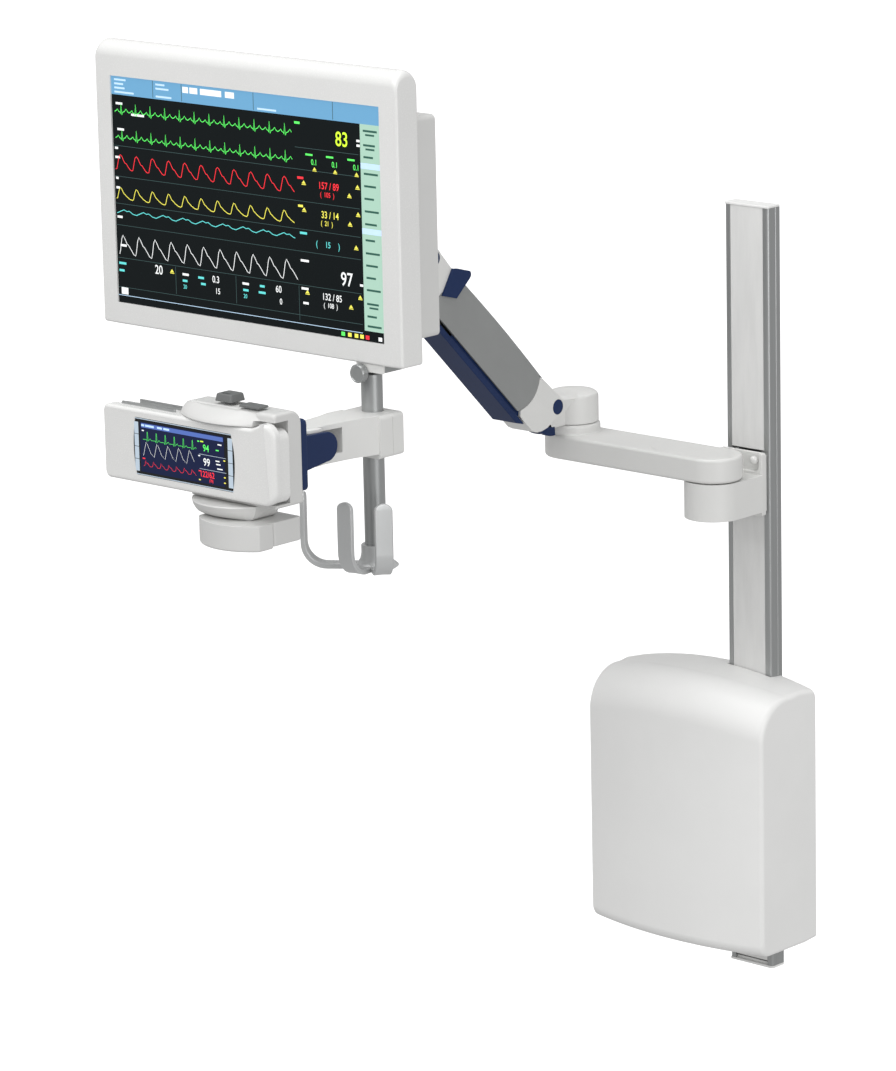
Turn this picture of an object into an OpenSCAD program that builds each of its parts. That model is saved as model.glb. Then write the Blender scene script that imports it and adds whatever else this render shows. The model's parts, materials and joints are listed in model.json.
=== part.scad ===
// Wall-mounted patient monitoring workstation: a rail with a supply box, a two-stage swing arm,
// a large display, and a small transport monitor docked on a post below the display.
// Millimetres. +Z is up, the wall is the plane y = 0, and the object stands out towards -Y.
// The origin is the centre of the rail's back face.

/* [Wall rail] */
// Length of the rail
rail_len = 965; // [900:5:1100]
// Width of the rail
rail_w = 68; // [66:1:72]
// Depth of the rail from the wall
rail_d = 23; // [22:1:26]
// Distance between the two outer wall holes
outer_holes = 900; // [860:10:900]
// Distance between the two inner wall holes
inner_holes = 300; // [260:10:340]

/* [Supply box] */
// Width of the box
box_w = 280; // [260:2:300]
// Depth of the box at its sides
box_d = 106; // [100:1:112]
// Height of the box at its sides
box_h = 327; // [310:1:340]
// Height of the box's lower edge above the rail's lower end
box_low = 41; // [35:1:60]

/* [Swing arm] */
// Height of the carriage's lower edge above the rail's lower end
carriage_low = 584; // [560:1:620]
// Distance from the wall to the rear swivel axis
swivel_y = 90; // [90:1:96]
// Distance between the extension arm's two axes
ext_len = 226; // [220:1:240]
// Thickness of the extension arm
ext_t = 31; // [30:1:34]
// Distance between a swivel axis and the spring arm's pivot beside it
knuckle_reach = 51; // [51:1:54]
// Distance between the spring arm's two pivots
spring_len = 310; // [306:1:320]
// Angle of the spring arm above the horizontal
lift_angle = 45; // [43:1:47]
// Width of the spring arm
arm_w = 40; // [40:0.5:42]

/* [Display] */
// Width of the visible screen
screen_w = 433; // [430:1:436]
// Height of the visible screen
screen_h = 271; // [269:1:273]
// Width of the display
disp_w = 486; // [484:1:490]
// Height of the display
disp_h = 338; // [336:1:340]
// Depth of the front shell
front_d = 36.5; // [36:0.5:38]
// Depth of the whole display
disp_d = 71; // [70:1:74]

/* [Post and dock] */
// Outer diameter of the post tube
post_d = 25; // [25:0.5:26]
// Length of the post tube below the display
post_len = 209; // [206:1:214]
// Width of the dock
dock_w = 134; // [130:1:136]
// Height of the dock
dock_h = 108; // [107:1:109]
// Width of the small monitor
mon_w = 268; // [262:1:270]
// Height of the small monitor
mon_h = 86; // [84:1:88]

/* [Hidden] */
$fn = 64;
eps = 0.01;
z0 = -rail_len/2;                      // rail's lower end
strip_w = rail_w - 17.4;               // infill strip between the rail's lips
lip_t = 4;                             // thickness of the rail's walls
box_x = -54;                           // centre of the supply box
box_z = z0 + box_low;
box_bulge = 20;                        // how far the box's front bows out
box_crown = 17;                        // how far the box's top rises at its middle
box_t = 3;                             // wall of the supply box
box_top_r = 54;                        // rounds of the box's front, at its top and bottom
box_low_r = 18;

car_z = z0 + carriage_low;             // carriage plate's lower edge
car_h = 79;
hub_r = 36;                            // radius of the arm's round ends
hub_low = car_z + 6;                   // swivel housing
hub_h = 46.5;
ext_z = hub_low + hub_h + 1;           // underside of the extension arm
ext_top = ext_z + ext_t;
elbow_x = -ext_len;                    // elbow swivel axis
axis_y = -swivel_y;                    // y of both swivel axes
collar_h = 12.2;
kn_z = ext_top + collar_h + 0.6;       // underside of the elbow knuckle
kn_h = 37;
piv_y = axis_y - knuckle_reach;        // rear pivot of the spring arm
piv_z = kn_z + 27.7;
fpiv_y = piv_y - spring_len*cos(lift_angle);
fpiv_z = piv_z + spring_len*sin(lift_angle);
head_y = fpiv_y - knuckle_reach;       // front swivel axis
low_dy = -8;                           // lower link's pivots, from the upper ones
low_dz = -26;
pin_r = 5;                             // spring arm's pivot pins
pin_gap = 0.05;                        // running clearance on a radius
tongue = 12;                           // half width of the knuckles' tongues
beam_in = 12.4;                        // inner and outer half width of the beam
beam_out = 16;
arm_up = 9;                            // spring arm above and below its pivot line
arm_down = 60;

disp_x = elbow_x;
front_y = head_y - 249;                // front plane of the display
screen_y = front_y + 2.1;
shell_y = front_y + front_d;
back_y = front_y + disp_d;
screen_z = fpiv_z + 102.8;
disp_z = screen_z - 161.5;             // lower edge of the display
rear_low = disp_z + 27.5;              // rear shell's lower edge
rear_h = 254;
rear_in = 6;                           // how far the rear shell's sides stand in
tilt_y = back_y + 34;                  // tilt axis
tilt_z = screen_z;
vesa = 100;                            // display's bolt square

post_x = disp_x + 178.5;
post_y = front_y + 18;
post_top = disp_z - 14.5;
post_low = post_top - post_len;
knob_z = disp_z - 11.4;
hook_z = post_low - 19;                // underside of the cable hook
clamp_z = post_top - 93.5;             // underside of the dock arm's clamp
clamp_h = 50;
dk_x = post_x - 4.5;                   // dock's swivel axis
dk_y = post_y - 108;
dk_z = clamp_z + 30.5;                 // dock's tilt axis
dock_x = post_x - 19.5;                // middle of the dock
dock_back = dk_y - 56;                 // dock's back face
dock_z = dk_z - 52;                    // dock's lower edge
dock_front = dock_back - 44;
dock_top = dock_z + dock_h;
mon_x = dock_x - 61;                   // middle of the small monitor
mon_back = dock_front + 20;
mon_front = dock_front - 14;
mon_z = dock_z + 5;
cradle_x = dock_x - 15;                // middle of the dock's two lips
base_x = dock_x + 5;                   // middle of the dock base
mscreen_w = 156;                       // small monitor's screen
mscreen_h = 62;
mscreen_x = mon_x - 4;

// ---------- shared shapes ----------

// Rectangle with round corners, centred
module round_rect(w, h, r) {
    square([w - 2*r, h], center = true);
    square([w, h - 2*r], center = true);
    for (sx = [-1, 1], sy = [-1, 1])
        translate([sx*(w/2 - r), sy*(h/2 - r)]) circle(r);
}

// Block centred on x and z, with round corners seen from the front, from y to y + d
module front_block(w, d, h, r) {
    translate([0, d, 0]) rotate([90, 0, 0]) linear_extrude(d) round_rect(w, h, r);
}

// Solid cylinder along X, centred
module x_cyl(r, l) {
    rotate([0, 90, 0]) cylinder(r = r, h = l, center = true);
}

// Solid cylinder along Y, from y to y + l
module y_cyl(r, l) {
    translate([0, l, 0]) rotate([90, 0, 0]) cylinder(r = r, h = l);
}

// Extrudes a side view drawn as [y, z] along X, centred
module side_extrude(w) {
    translate([-w/2, 0, 0]) rotate([90, 0, 90]) linear_extrude(w) children();
}

// Places children in the spring arm's own frame: origin on the rear pivot, the arm along -Y
module in_arm() {
    translate([elbow_x, piv_y, piv_z]) rotate([-lift_angle, 0, 0]) children();
}

// ---------- wall rail ----------

module rail_section() {
    difference() {
        union() {
            translate([-rail_w/2, -rail_d + 3]) square([rail_w, rail_d - 3]);
            translate([-rail_w/2 + 3, -rail_d]) square([rail_w - 6, 4]);
            for (s = [-1, 1]) translate([s*(rail_w/2 - 3), -rail_d + 3]) circle(3);
        }
        translate([-rail_w/2 + lip_t, -rail_d + lip_t]) square([rail_w - 2*lip_t, rail_d - 2*lip_t]);
        translate([-strip_w/2 - 0.2, -rail_d - 1]) square([strip_w + 0.4, lip_t + 2]);
    }
}

module rail_channel() color("silver") difference() {
    translate([0, 0, z0]) linear_extrude(rail_len) rail_section();
    for (z = [-outer_holes/2, -inner_holes/2, inner_holes/2, outer_holes/2])
        translate([0, -lip_t - 1, z]) y_cyl(3.3, lip_t + 2);
}

module rail_strip(low, high) {
    translate([-strip_w/2, -rail_d, low]) cube([strip_w, 2.4, high - low]);
    for (s = [-1, 1]) translate([s*(strip_w/2 - 2.5) - 1, -rail_d + 2.4 - eps, low])
        cube([2, 5, high - low]);
}

module rail_strips() color("gainsboro") {
    rail_strip(z0 + 6, car_z - 0.5);
    rail_strip(car_z + car_h + 0.5, z0 + rail_len);
}

module rail_end_caps() color("white") {
    for (z = [z0 - 3, z0 + rail_len]) translate([-rail_w/2 - 0.5, -rail_d - 1, z])
        cube([rail_w + 1, rail_d + 0.9, 3]);
}

// ---------- carriage ----------

bolt_x = 22;
bolt_zs = [car_z + 7, car_z + car_h - 9];

module carriage_plate() color("whitesmoke") difference() {
    union() {
        translate([0, -rail_d - 14.8, car_z + car_h/2]) front_block(rail_w, 8, car_h, 3);
        translate([-rail_w/2 + 4, -rail_d - 7, car_z + 4]) cube([rail_w - 8, 6.8, car_h - 8]);
    }
    for (x = [-bolt_x, bolt_x], z = bolt_zs) translate([x, -rail_d - 16, z]) y_cyl(3.3, 20);
}

module carriage_housing() color("whitesmoke") {
    root_y = -rail_d - 15;
    difference() {
        union() {
            translate([0, axis_y, hub_low]) cylinder(r = hub_r, h = hub_h);
            translate([-hub_r, axis_y, hub_low]) cube([2*hub_r, root_y - axis_y, hub_h]);
        }
        translate([0, axis_y, hub_low + 6]) cylinder(r = 9, h = hub_h);
        // room for the lower bolts' heads
        for (s = [-1, 1]) translate([s*bolt_x, root_y - 7.5, bolt_zs[0]]) y_cyl(7, 8);
    }
}

module carriage_clamp_bars() color("dimgray") for (x = [-bolt_x, bolt_x]) difference() {
    translate([x - (x > 0 ? 4.6 : 7.6), -rail_d + lip_t + 0.3, car_z + 2]) cube([12.2, 5, car_h - 4]);
    for (z = bolt_zs) translate([x, -rail_d + lip_t - 1, z]) y_cyl(3, 8);
}

module carriage_bolts() color("white") for (x = [-bolt_x, bolt_x], z = bolt_zs) {
    translate([x, -rail_d - 14.8, z]) y_cyl(2.95, 24);
    translate([x, -rail_d - 19.8, z]) y_cyl(5.2, 5);
}

module extension_pin() color("slategray") {
    translate([0, axis_y, hub_low + 6]) cylinder(r = 9, h = hub_h - 6 + ext_t - 5);
}

// ---------- supply box ----------

// The box's outer form, shrunk by t: its front and top round are swept about a far upright axis,
// and its crowned top about a far level one
module box_side(t) {
    top = box_h + box_crown - t;
    front = -box_d - box_bulge + t;
    translate([front, t + box_low_r]) square([-front - t, top - t - box_low_r - box_top_r]);
    translate([front + box_low_r, t]) square([-front - t - box_low_r, box_low_r + 1]);
    translate([front + box_top_r, top - box_top_r - 1]) square([-front - t - box_top_r, box_top_r + 1]);
    translate([front + box_low_r, t + box_low_r]) circle(box_low_r);
    translate([front + box_top_r, top - box_top_r]) circle(box_top_r);
}

module box_form(t) {
    hw = box_w/2;
    bow = (hw*hw + box_bulge*box_bulge)/(2*box_bulge);
    crown = (hw*hw + box_crown*box_crown)/(2*box_crown);
    axis_back = bow - box_d - box_bulge;
    axis_down = crown - box_h - box_crown;
    intersection() {
        translate([0, axis_back, 0]) rotate([0, 0, 180]) rotate_extrude($fn = 256)
            intersection() {
                translate([axis_back, 0]) mirror([1, 0]) box_side(t);
                translate([1, 0]) square([2*bow, 2*box_h]);
            }
        translate([0, 0, -axis_down]) rotate([90, 0, 0]) cylinder(r = crown - t, h = 2*box_d, $fn = 256);
        translate([-hw + t, -2*box_d, 0]) cube([2*(hw - t), 2*box_d - t, 2*box_h]);
    }
}

module box_cover() color("whitesmoke") translate([box_x, 0, box_z]) difference() {
    box_form(0);
    translate([0, box_t + 1, 0]) box_form(box_t);
    translate([-box_x - rail_w/2 - 0.6, -rail_d - 1.4, -1]) cube([rail_w + 1.2, rail_d + 2, box_h + 60]);
    translate([-box_w/2 - 1, -5, -1]) cube([box_w + 2, 6, box_h + 60]);
}

// Two plates, one each side of the rail
module box_back_plate() color("gray") {
    margin = 4;
    left = box_x - box_w/2 + margin;
    right = box_x + box_w/2 - margin;
    z = box_z + margin;
    h = box_h - 2*margin;
    difference() {
        union() {
            translate([left, -4, z]) cube([-rail_w/2 - 0.6 - left, 3, h]);
            translate([rail_w/2 + 0.6, -4, z]) cube([right - rail_w/2 - 0.6, 3, h]);
            translate([left, -rail_d - 3.2, z + h/2 - 20]) cube([right - left, 3, 40]);
            for (x = [left, right - 3]) translate([x, -rail_d - 3.2, z + h/2 - 20])
                cube([3, rail_d + 0.2, 40]);
        }
        for (x = [left + 20, right - 12], zz = [z + 12, z + h - 30])
            translate([x, -5, zz]) y_cyl(2.2, 6);
    }
}

module power_supply() color("dimgray") {
    translate([box_x - 85, -78, box_z + 60]) cube([150, 48, 170]);
    translate([box_x - 60, -62, box_z + 20]) cube([40, 30, 40 + eps]);
}

module box_screws() color("silver") {
    for (x = [box_x - box_w/2 + 24, box_x + box_w/2 - 16], z = [box_z + 16, box_z + box_h - 34]) {
        translate([x, -6.5, z]) y_cyl(2.15, 6.4);
        translate([x, -8.5, z]) y_cyl(4, 2.2);
    }
}

// ---------- extension arm ----------

module extension_arm() color("whitesmoke") difference() {
    union() {
        for (x = [0, elbow_x]) translate([x, axis_y, ext_z]) cylinder(r = hub_r, h = ext_t);
        translate([elbow_x, axis_y - hub_r, ext_z]) cube([ext_len, 2*hub_r, ext_t]);
    }
    translate([0, axis_y, ext_z - 1]) cylinder(r = 12, h = ext_t - 3);
    translate([elbow_x, axis_y, ext_z + 5]) cylinder(r = 8, h = ext_t);
    // hollow underside between the hubs
    translate([elbow_x + 32, axis_y - hub_r + 4, ext_z - 1]) cube([ext_len - 60, 2*hub_r - 8, ext_t - 4]);
}

module extension_bush() color("goldenrod") translate([0, axis_y, ext_z]) difference() {
    cylinder(r = 12, h = ext_t - 5);
    translate([0, 0, -1]) cylinder(r = 9 + pin_gap, h = ext_t);
}

module elbow_pin() color("slategray") {
    translate([elbow_x, axis_y, ext_z + 5]) cylinder(r = 8, h = ext_t - 5 + collar_h + 0.6 + 20);
}

module elbow_collar() color("whitesmoke") translate([elbow_x, axis_y, ext_top]) difference() {
    rotate_extrude() {
        translate([8.5, 0]) square([hub_r - 10.5, collar_h]);
        translate([8.5, 0]) square([hub_r - 8.5 - 2, collar_h - 2]);
        translate([hub_r - 4, collar_h - 2]) circle(2);
    }
    translate([0, 0, -1]) cylinder(r = 8 + pin_gap + 0.5, h = collar_h + 2);
}

// ---------- knuckles ----------

// One knuckle, its swivel axis on the origin, z = 0 at its underside, its tongue along -Y
module knuckle_body(r, h, pz, bore_r, bore_low, bore_h) {
    difference() {
        union() {
            cylinder(r = r, h = h);
            translate([-tongue, -knuckle_reach, pz - 11]) cube([2*tongue, knuckle_reach, h - pz + 11]);
            translate([0, -knuckle_reach, pz]) x_cyl(11, 2*tongue);
            translate([0, -knuckle_reach + low_dy, pz + low_dz]) x_cyl(9, 2*tongue);
            side_extrude(2*tongue) polygon([[-knuckle_reach + low_dy - 9, pz + low_dz],
                [-knuckle_reach + low_dy + 9, pz + low_dz], [-knuckle_reach + 11, pz],
                [-knuckle_reach - 11, pz]]);
        }
        // room for the spring arm's cheeks
        for (s = [-1, 1]) translate([s*(tongue + 15) - 15, -knuckle_reach - 20, pz - 50])
            cube([30, 38, 90]);
        translate([0, -knuckle_reach, pz]) x_cyl(pin_r, 3*tongue);
        translate([0, -knuckle_reach + low_dy, pz + low_dz]) x_cyl(pin_r - 1, 3*tongue);
        // slot for the lower link's blade
        translate([-4.6, -knuckle_reach - 40, pz + low_dz - 12]) cube([9.2, 52, 28]);
        translate([0, 0, bore_low]) cylinder(r = bore_r, h = bore_h);
    }
}

module elbow_knuckle() color("whitesmoke")
    translate([elbow_x, axis_y, kn_z])
        knuckle_body(32, kn_h, piv_z - kn_z, 8 + pin_gap, -1, 21.5);

module rear_arm_pins() color("silver") {
    translate([elbow_x, piv_y, piv_z]) x_cyl(pin_r, 2*beam_out);
    translate([elbow_x, piv_y + low_dy, piv_z + low_dz]) x_cyl(pin_r - 1, 2*tongue);
}

module front_knuckle() color("whitesmoke")
    translate([elbow_x, head_y, fpiv_z]) mirror([0, 1, 0])
        translate([0, 0, -25]) front_knuckle_body();

// The front knuckle's tongue points back to the spring arm and its lower pivot keeps low_dy
module front_knuckle_body() difference() {
    union() {
        cylinder(r = 30, h = 46);
        translate([-tongue, -knuckle_reach, 14]) cube([2*tongue, knuckle_reach, 32 - 10]);
        translate([0, -knuckle_reach, 25]) x_cyl(11, 2*tongue);
        translate([0, -knuckle_reach - low_dy, 25 + low_dz]) x_cyl(8, 2*tongue);
        side_extrude(2*tongue) polygon([[-knuckle_reach - low_dy - 8, 25 + low_dz],
            [-knuckle_reach - low_dy + 8, 25 + low_dz], [-20, 4], [-20, 14],
            [-knuckle_reach + 11, 25], [-knuckle_reach - 11, 25]]);
    }
    for (s = [-1, 1]) translate([s*(tongue + 15) - 15, -knuckle_reach - 20, -30]) cube([30, 44, 100]);
    translate([0, -knuckle_reach, 25]) x_cyl(pin_r, 3*tongue);
    translate([0, -knuckle_reach - low_dy, 25 + low_dz]) x_cyl(pin_r - 1, 3*tongue);
    translate([-4.6, -knuckle_reach - 30, 25 + low_dz - 12]) cube([9.2, 51, 27]);
    translate([0, 0, 8]) cylinder(r = 8, h = 60);
}

module front_arm_pins() color("silver") {
    translate([elbow_x, fpiv_y, fpiv_z]) x_cyl(pin_r, 2*beam_out);
    translate([elbow_x, fpiv_y + low_dy, fpiv_z + low_dz]) x_cyl(pin_r - 1, 2*tongue);
}

module head_pin() color("slategray") {
    translate([elbow_x, head_y, fpiv_z - 17]) cylinder(r = 8, h = 58);
}

// ---------- spring arm, in its own frame ----------

module beam_side() {
    circle(12);
    translate([-spring_len, 0]) circle(12);
    translate([-spring_len, -12]) square([spring_len, 24 - 4.5]);
}

module arm_beam() color("lightgray") in_arm() difference() {
    union() {
        side_extrude(2*beam_out) beam_side();
    }
    side_extrude(2*beam_in) difference() {
        translate([-spring_len - 30, -30]) square([spring_len + 60, 60]);
        translate([-spring_len + 46, 4.5]) square([spring_len - 92, 3]);
    }
    for (y = [0, -spring_len]) translate([0, y, 0]) x_cyl(pin_r + pin_gap, 60);
}

cover_from = 50;                       // arm cover's ends along the arm
cover_to = spring_len - 62;

module arm_upper_cover() color("darkgray") in_arm() difference() {
    side_extrude(arm_w) translate([-cover_to, -47.5]) square([cover_to - cover_from, 47.5 + arm_up]);
    side_extrude(arm_w - 6) translate([-cover_to - 1, -50]) square([cover_to - cover_from + 2, 50 + arm_up - 1.2]);
}

// Side view of the rear cap: round about the pivot, a slanting heel and a flat underside
module rear_cap_side() {
    circle(12.5);
    polygon([[0, arm_up], [-cover_from + 0.3, arm_up], [-cover_from + 0.3, -47], [-44, -50],
        [-20, -50], [-8, -44], [2, -30], [4, -12], [12, -3], [12, 3]]);
}

module rear_arm_cap() color("whitesmoke") in_arm() difference() {
    side_extrude(arm_w) rear_cap_side();
    // inside the cap: the beam and the knuckle's tongue, between the cheeks, the bridge and the floor
    side_extrude(2*beam_out + 0.6) polygon([[-80, -80], [-34, -80], [-34, -47.5], [-20, -47.5],
        [-9.5, -42.2], [-6, -80], [30, -80], [30, arm_up - 1.5], [-80, arm_up - 1.5]]);
    side_extrude(2*beam_out + 0.6) translate([-cover_from + 16, -10]) square([90, 40]);
    x_cyl(9.5, 2*arm_w);
}

module front_cap_side() {
    translate([-spring_len, 0]) circle(12.5);
    polygon([[-spring_len, arm_up], [-spring_len - 12, 3], [-spring_len - 12, -3],
        [-spring_len + 2, -12], [-spring_len + 38, -50], [-cover_to - 0.3, -47],
        [-cover_to - 0.3, arm_up]]);
}

module front_arm_cap() color("whitesmoke") in_arm() difference() {
    side_extrude(arm_w) front_cap_side();
    side_extrude(2*beam_out + 0.6) translate([-spring_len - 30, -80]) square([130, 80 + arm_up - 1.5]);
    side_extrude(2*beam_out + 0.6) translate([-spring_len - 30, -10]) square([60, 40]);
    translate([0, -spring_len, 0]) x_cyl(9.5, 2*arm_w);
}

module pivot_caps() color("midnightblue") in_arm()
    for (y = [0, -spring_len], s = [-1, 1]) translate([s*(arm_w/2 - 1.7), y, 0]) x_cyl(9.4, 3.8);

// Gas strut inside the beam, from the knuckle's side of the arm to a stop near the front
module gas_spring() color("black") in_arm() {
    translate([0, -spring_len + 70, -5]) y_cyl(8.5, 120);
    translate([0, -spring_len + 190 - eps, -5]) y_cyl(4, 62);
    translate([0, -spring_len + 64, -5]) x_cyl(5, 2*beam_in);
    translate([0, -spring_len + 64, -5]) y_cyl(4, 7);
}

module cable_clip() color("midnightblue") in_arm() difference() {
    side_extrude(arm_w + 5) polygon([[-cover_to - 2, -18], [-cover_to - 2, arm_up + 13],
        [-cover_to - 30, arm_up + 13], [-cover_to - 33, arm_up - 3], [-cover_to - 25, -29]]);
    side_extrude(arm_w + 0.4) translate([-cover_to - 60, -60]) square([80, 60 + arm_up + 0.2]);
}

// Lower link in the arm's frame at rest: a tray under the cover and a blade to each lower pivot
module lower_link() color("midnightblue")
    translate([elbow_x, piv_y + low_dy, piv_z + low_dz]) rotate([-lift_angle, 0, 0]) {
        s0 = 12.7;                     // the lower pivot lies this far behind the upper one along the arm
        h0 = 24;                       // and this far below it
        from = 50 + s0;
        to = spring_len - 63 + s0;
        difference() {
            union() {
                side_extrude(arm_w) polygon([[-to, -arm_down + h0], [-from, -arm_down + h0],
                    [-from + 12, -arm_down + h0 + 7], [-from + 4, -arm_down + h0 + 5.5],
                    [-from - 4, -arm_down + h0 + 3], [-to, -arm_down + h0 + 3]]);
                side_extrude(arm_w - 8.2) translate([-to + 30, -arm_down + h0 + 2.9])
                    square([to - from - 30, 14]);
            }
            side_extrude(arm_w - 12) translate([-to - 1, -arm_down + h0 + 3])
                square([to - from - 24, 20]);
        }
        difference() {
            union() {
                side_extrude(8) union() {
                    circle(8);
                    translate([-spring_len, 0]) circle(8);
                    translate([-spring_len, -4]) square([spring_len, 8]);
                    polygon([[-to + 70, -3], [-to + 70, -arm_down + h0 + 4],
                        [-from - 6, -arm_down + h0 + 4], [-from - 6, -3]]);
                }
            }
            x_cyl(pin_r - 1 + pin_gap, 20);
            translate([0, -spring_len, 0]) x_cyl(pin_r - 1 + 1.2, 20);
        }
    }

// ---------- head ----------

module head_arm() color("whitesmoke") {
    base = fpiv_z + 21.6;
    beam_z = tilt_z - 46;
    difference() {
        union() {
            translate([elbow_x, head_y, base]) cylinder(r = 28, h = beam_z + 38 - base);
            translate([elbow_x - 20, tilt_y + 26, beam_z]) cube([40, head_y - tilt_y - 26, 38]);
            for (s = [-1, 1]) translate([elbow_x + s*24, 0, 0]) {
                translate([-5, tilt_y, tilt_z - 46]) cube([10, 40, 40]);
                translate([0, tilt_y, tilt_z]) x_cyl(16, 10);
                translate([-5, tilt_y - 16, tilt_z - 30]) cube([10, 32, 30]);
            }
            translate([elbow_x - 29, tilt_y + 26, beam_z]) cube([58, 14, 38]);
        }
        translate([elbow_x, head_y, base - 1]) cylinder(r = 8 + pin_gap, h = 24);
        translate([elbow_x, tilt_y, tilt_z]) x_cyl(6, 80);
    }
}

module tilt_pin() color("slategray") translate([elbow_x, tilt_y, tilt_z]) x_cyl(6, 62);

module vesa_bracket() color("lightgray") difference() {
    union() {
        translate([disp_x, back_y + 0.2, tilt_z]) front_block(120, 4, 120, 6);
        translate([disp_x, tilt_y, tilt_z]) x_cyl(14, 37);
        translate([disp_x - 18.5, back_y + 4, tilt_z - 14]) cube([37, tilt_y - back_y - 4, 28]);
    }
    translate([disp_x, tilt_y, tilt_z]) x_cyl(6 + pin_gap, 60);
    for (x = [-vesa/2, vesa/2], z = [-vesa/2, vesa/2])
        translate([disp_x + x, back_y - 1, tilt_z + z]) y_cyl(2.3, 8);
}

// ---------- display ----------

// Side view of the front shell, shrunk by t: flat front, back and bottom, full round top
module front_side(t) {
    r = front_d/2 - t;
    translate([front_y + t, disp_z + t]) square([2*r, disp_h - t - front_d/2]);
    translate([front_y + front_d/2, disp_z + disp_h - front_d/2]) circle(r);
}

module display_front_shell() color("whitesmoke") translate([disp_x, 0, 0]) difference() {
    side_extrude(disp_w) front_side(0);
    side_extrude(disp_w - 4) front_side(2);
    translate([0, front_y - 1, screen_z]) front_block(screen_w, 10, screen_h, 2);
    translate([-disp_w/2 + rear_in + 3, shell_y - 5, rear_low + 3]) cube([disp_w - 2*rear_in - 6, 10, rear_h - 6]);
}

module display_rear_shell() color("gainsboro") translate([disp_x, 0, rear_low + rear_h/2]) difference() {
    w = disp_w - 2*rear_in;
    d = disp_d - front_d;
    translate([0, shell_y, 0]) front_block(w, d, rear_h, 5);
    translate([0, shell_y - 1, 0]) front_block(w - 6, d - 2, rear_h - 6, 3);
    for (x = [-vesa/2, vesa/2], z = [-vesa/2, vesa/2])
        translate([x, back_y - 8, tilt_z - rear_low - rear_h/2 + z]) y_cyl(2.3, 10);
    // vents above and below the mount
    for (side = [-1, 1], i = [-6:6]) translate([i*22 - 6, back_y - 4, side*100 - 4]) cube([12, 6, 8]);
}

module display_glass() color("black")
    translate([disp_x, screen_y, screen_z]) front_block(screen_w + 14, 3, screen_h + 14, 4);

module lcd_panel() color("silver")
    translate([disp_x, screen_y + 3.1, screen_z]) front_block(screen_w + 20, 12, screen_h + 20, 2);

module display_board() color("darkgreen") {
    translate([disp_x - 150, shell_y + 2, screen_z - 90]) cube([300, 2, 170]);
    translate([disp_x - 60, shell_y + 4, screen_z - 40]) cube([70, 12, 70]);
    translate([disp_x + 50, shell_y + 4, screen_z - 70]) cube([60, 9, 45]);
    // posts that carry the panel on the board
    for (x = [-130, 130], z = [-80, 70])
        translate([disp_x + x, screen_y + 15.1, screen_z + z]) y_cyl(4, shell_y - screen_y - 13.1 + eps);
}

module display_screws() color("silver") for (x = [-vesa/2, vesa/2], z = [-vesa/2, vesa/2]) {
    translate([disp_x + x, back_y - 9, tilt_z + z]) y_cyl(2.2, 14);
    translate([disp_x + x, back_y + 4.3, tilt_z + z]) y_cyl(4, 3);
}

// ---------- post ----------

module post_bracket() color("silver") {
    boss_z = post_top + 2;
    difference() {
        union() {
            translate([post_x - 9.5, front_y + 6, disp_z - 8.8]) cube([42.5, 47, 8.6]);
            translate([post_x, post_y - 11.7, boss_z]) y_cyl(15.5, 37);
            translate([post_x - 12, post_y - 11.7, boss_z]) cube([38, 37, disp_z - boss_z - 1]);
        }
        translate([post_x, post_y, boss_z - 30]) cylinder(r = post_d/2, h = 28);
        translate([post_x, post_y - 20, knob_z]) y_cyl(2.8 + pin_gap, 14);
        // flat under the display
        translate([post_x - 30, post_y - 30, disp_z - 0.2]) cube([60, 70, 20]);
    }
}

module bracket_cover() color("whitesmoke") difference() {
    translate([post_x - 9.5, front_y + 3, disp_z - 10]) cube([42.5, 2.8, 9.8]);
    translate([post_x, post_y - 20, knob_z]) y_cyl(3.4, 14);
}

module post_tube() color("silver") translate([post_x, post_y, post_low]) difference() {
    cylinder(r = post_d/2, h = post_len);
    translate([0, 0, 12]) cylinder(r = post_d/2 - 2, h = post_len);
}

// J-shaped prong seen from the side, along -Y from the post, as [y, z]
module prong_side(reach, tip) {
    r = 30;
    t = 6;
    difference() {
        union() {
            translate([-reach + r, 0]) square([reach - r - hook_base_r + 4, tip]);
            translate([-reach, r]) square([reach - hook_base_r, tip - r]);
            translate([-reach + r, r]) circle(r);
        }
        translate([-reach + r, t]) square([reach, tip]);
        translate([-reach + t, r]) square([reach, tip]);
        translate([-reach + r, r]) circle(r - t);
    }
}

hook_base_r = 26;

module prong(angle, reach) {
    translate([post_x, post_y, hook_z]) rotate([0, 0, angle])
        side_extrude(15) prong_side(reach, 89);
}

module cable_hook() color("silver") {
    difference() {
        union() {
            translate([post_x, post_y, hook_z + 0.3]) cylinder(r = 17, h = 27.7);
            translate([post_x, post_y, hook_z + 0.3]) cylinder(r = hook_base_r, h = 5.4);
        }
        translate([post_x, post_y, post_low]) cylinder(r = post_d/2, h = 20);
    }
    prong(52, 66);
    prong(9, 63);
    prong(-54, 86);
}

module post_lock_knob() color("silver") {
    translate([post_x, post_y - 25.3, knob_z]) y_cyl(11, 9.9);
    translate([post_x, post_y - 16, knob_z]) y_cyl(2.8, 8);
}

// ---------- dock arm ----------

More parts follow.
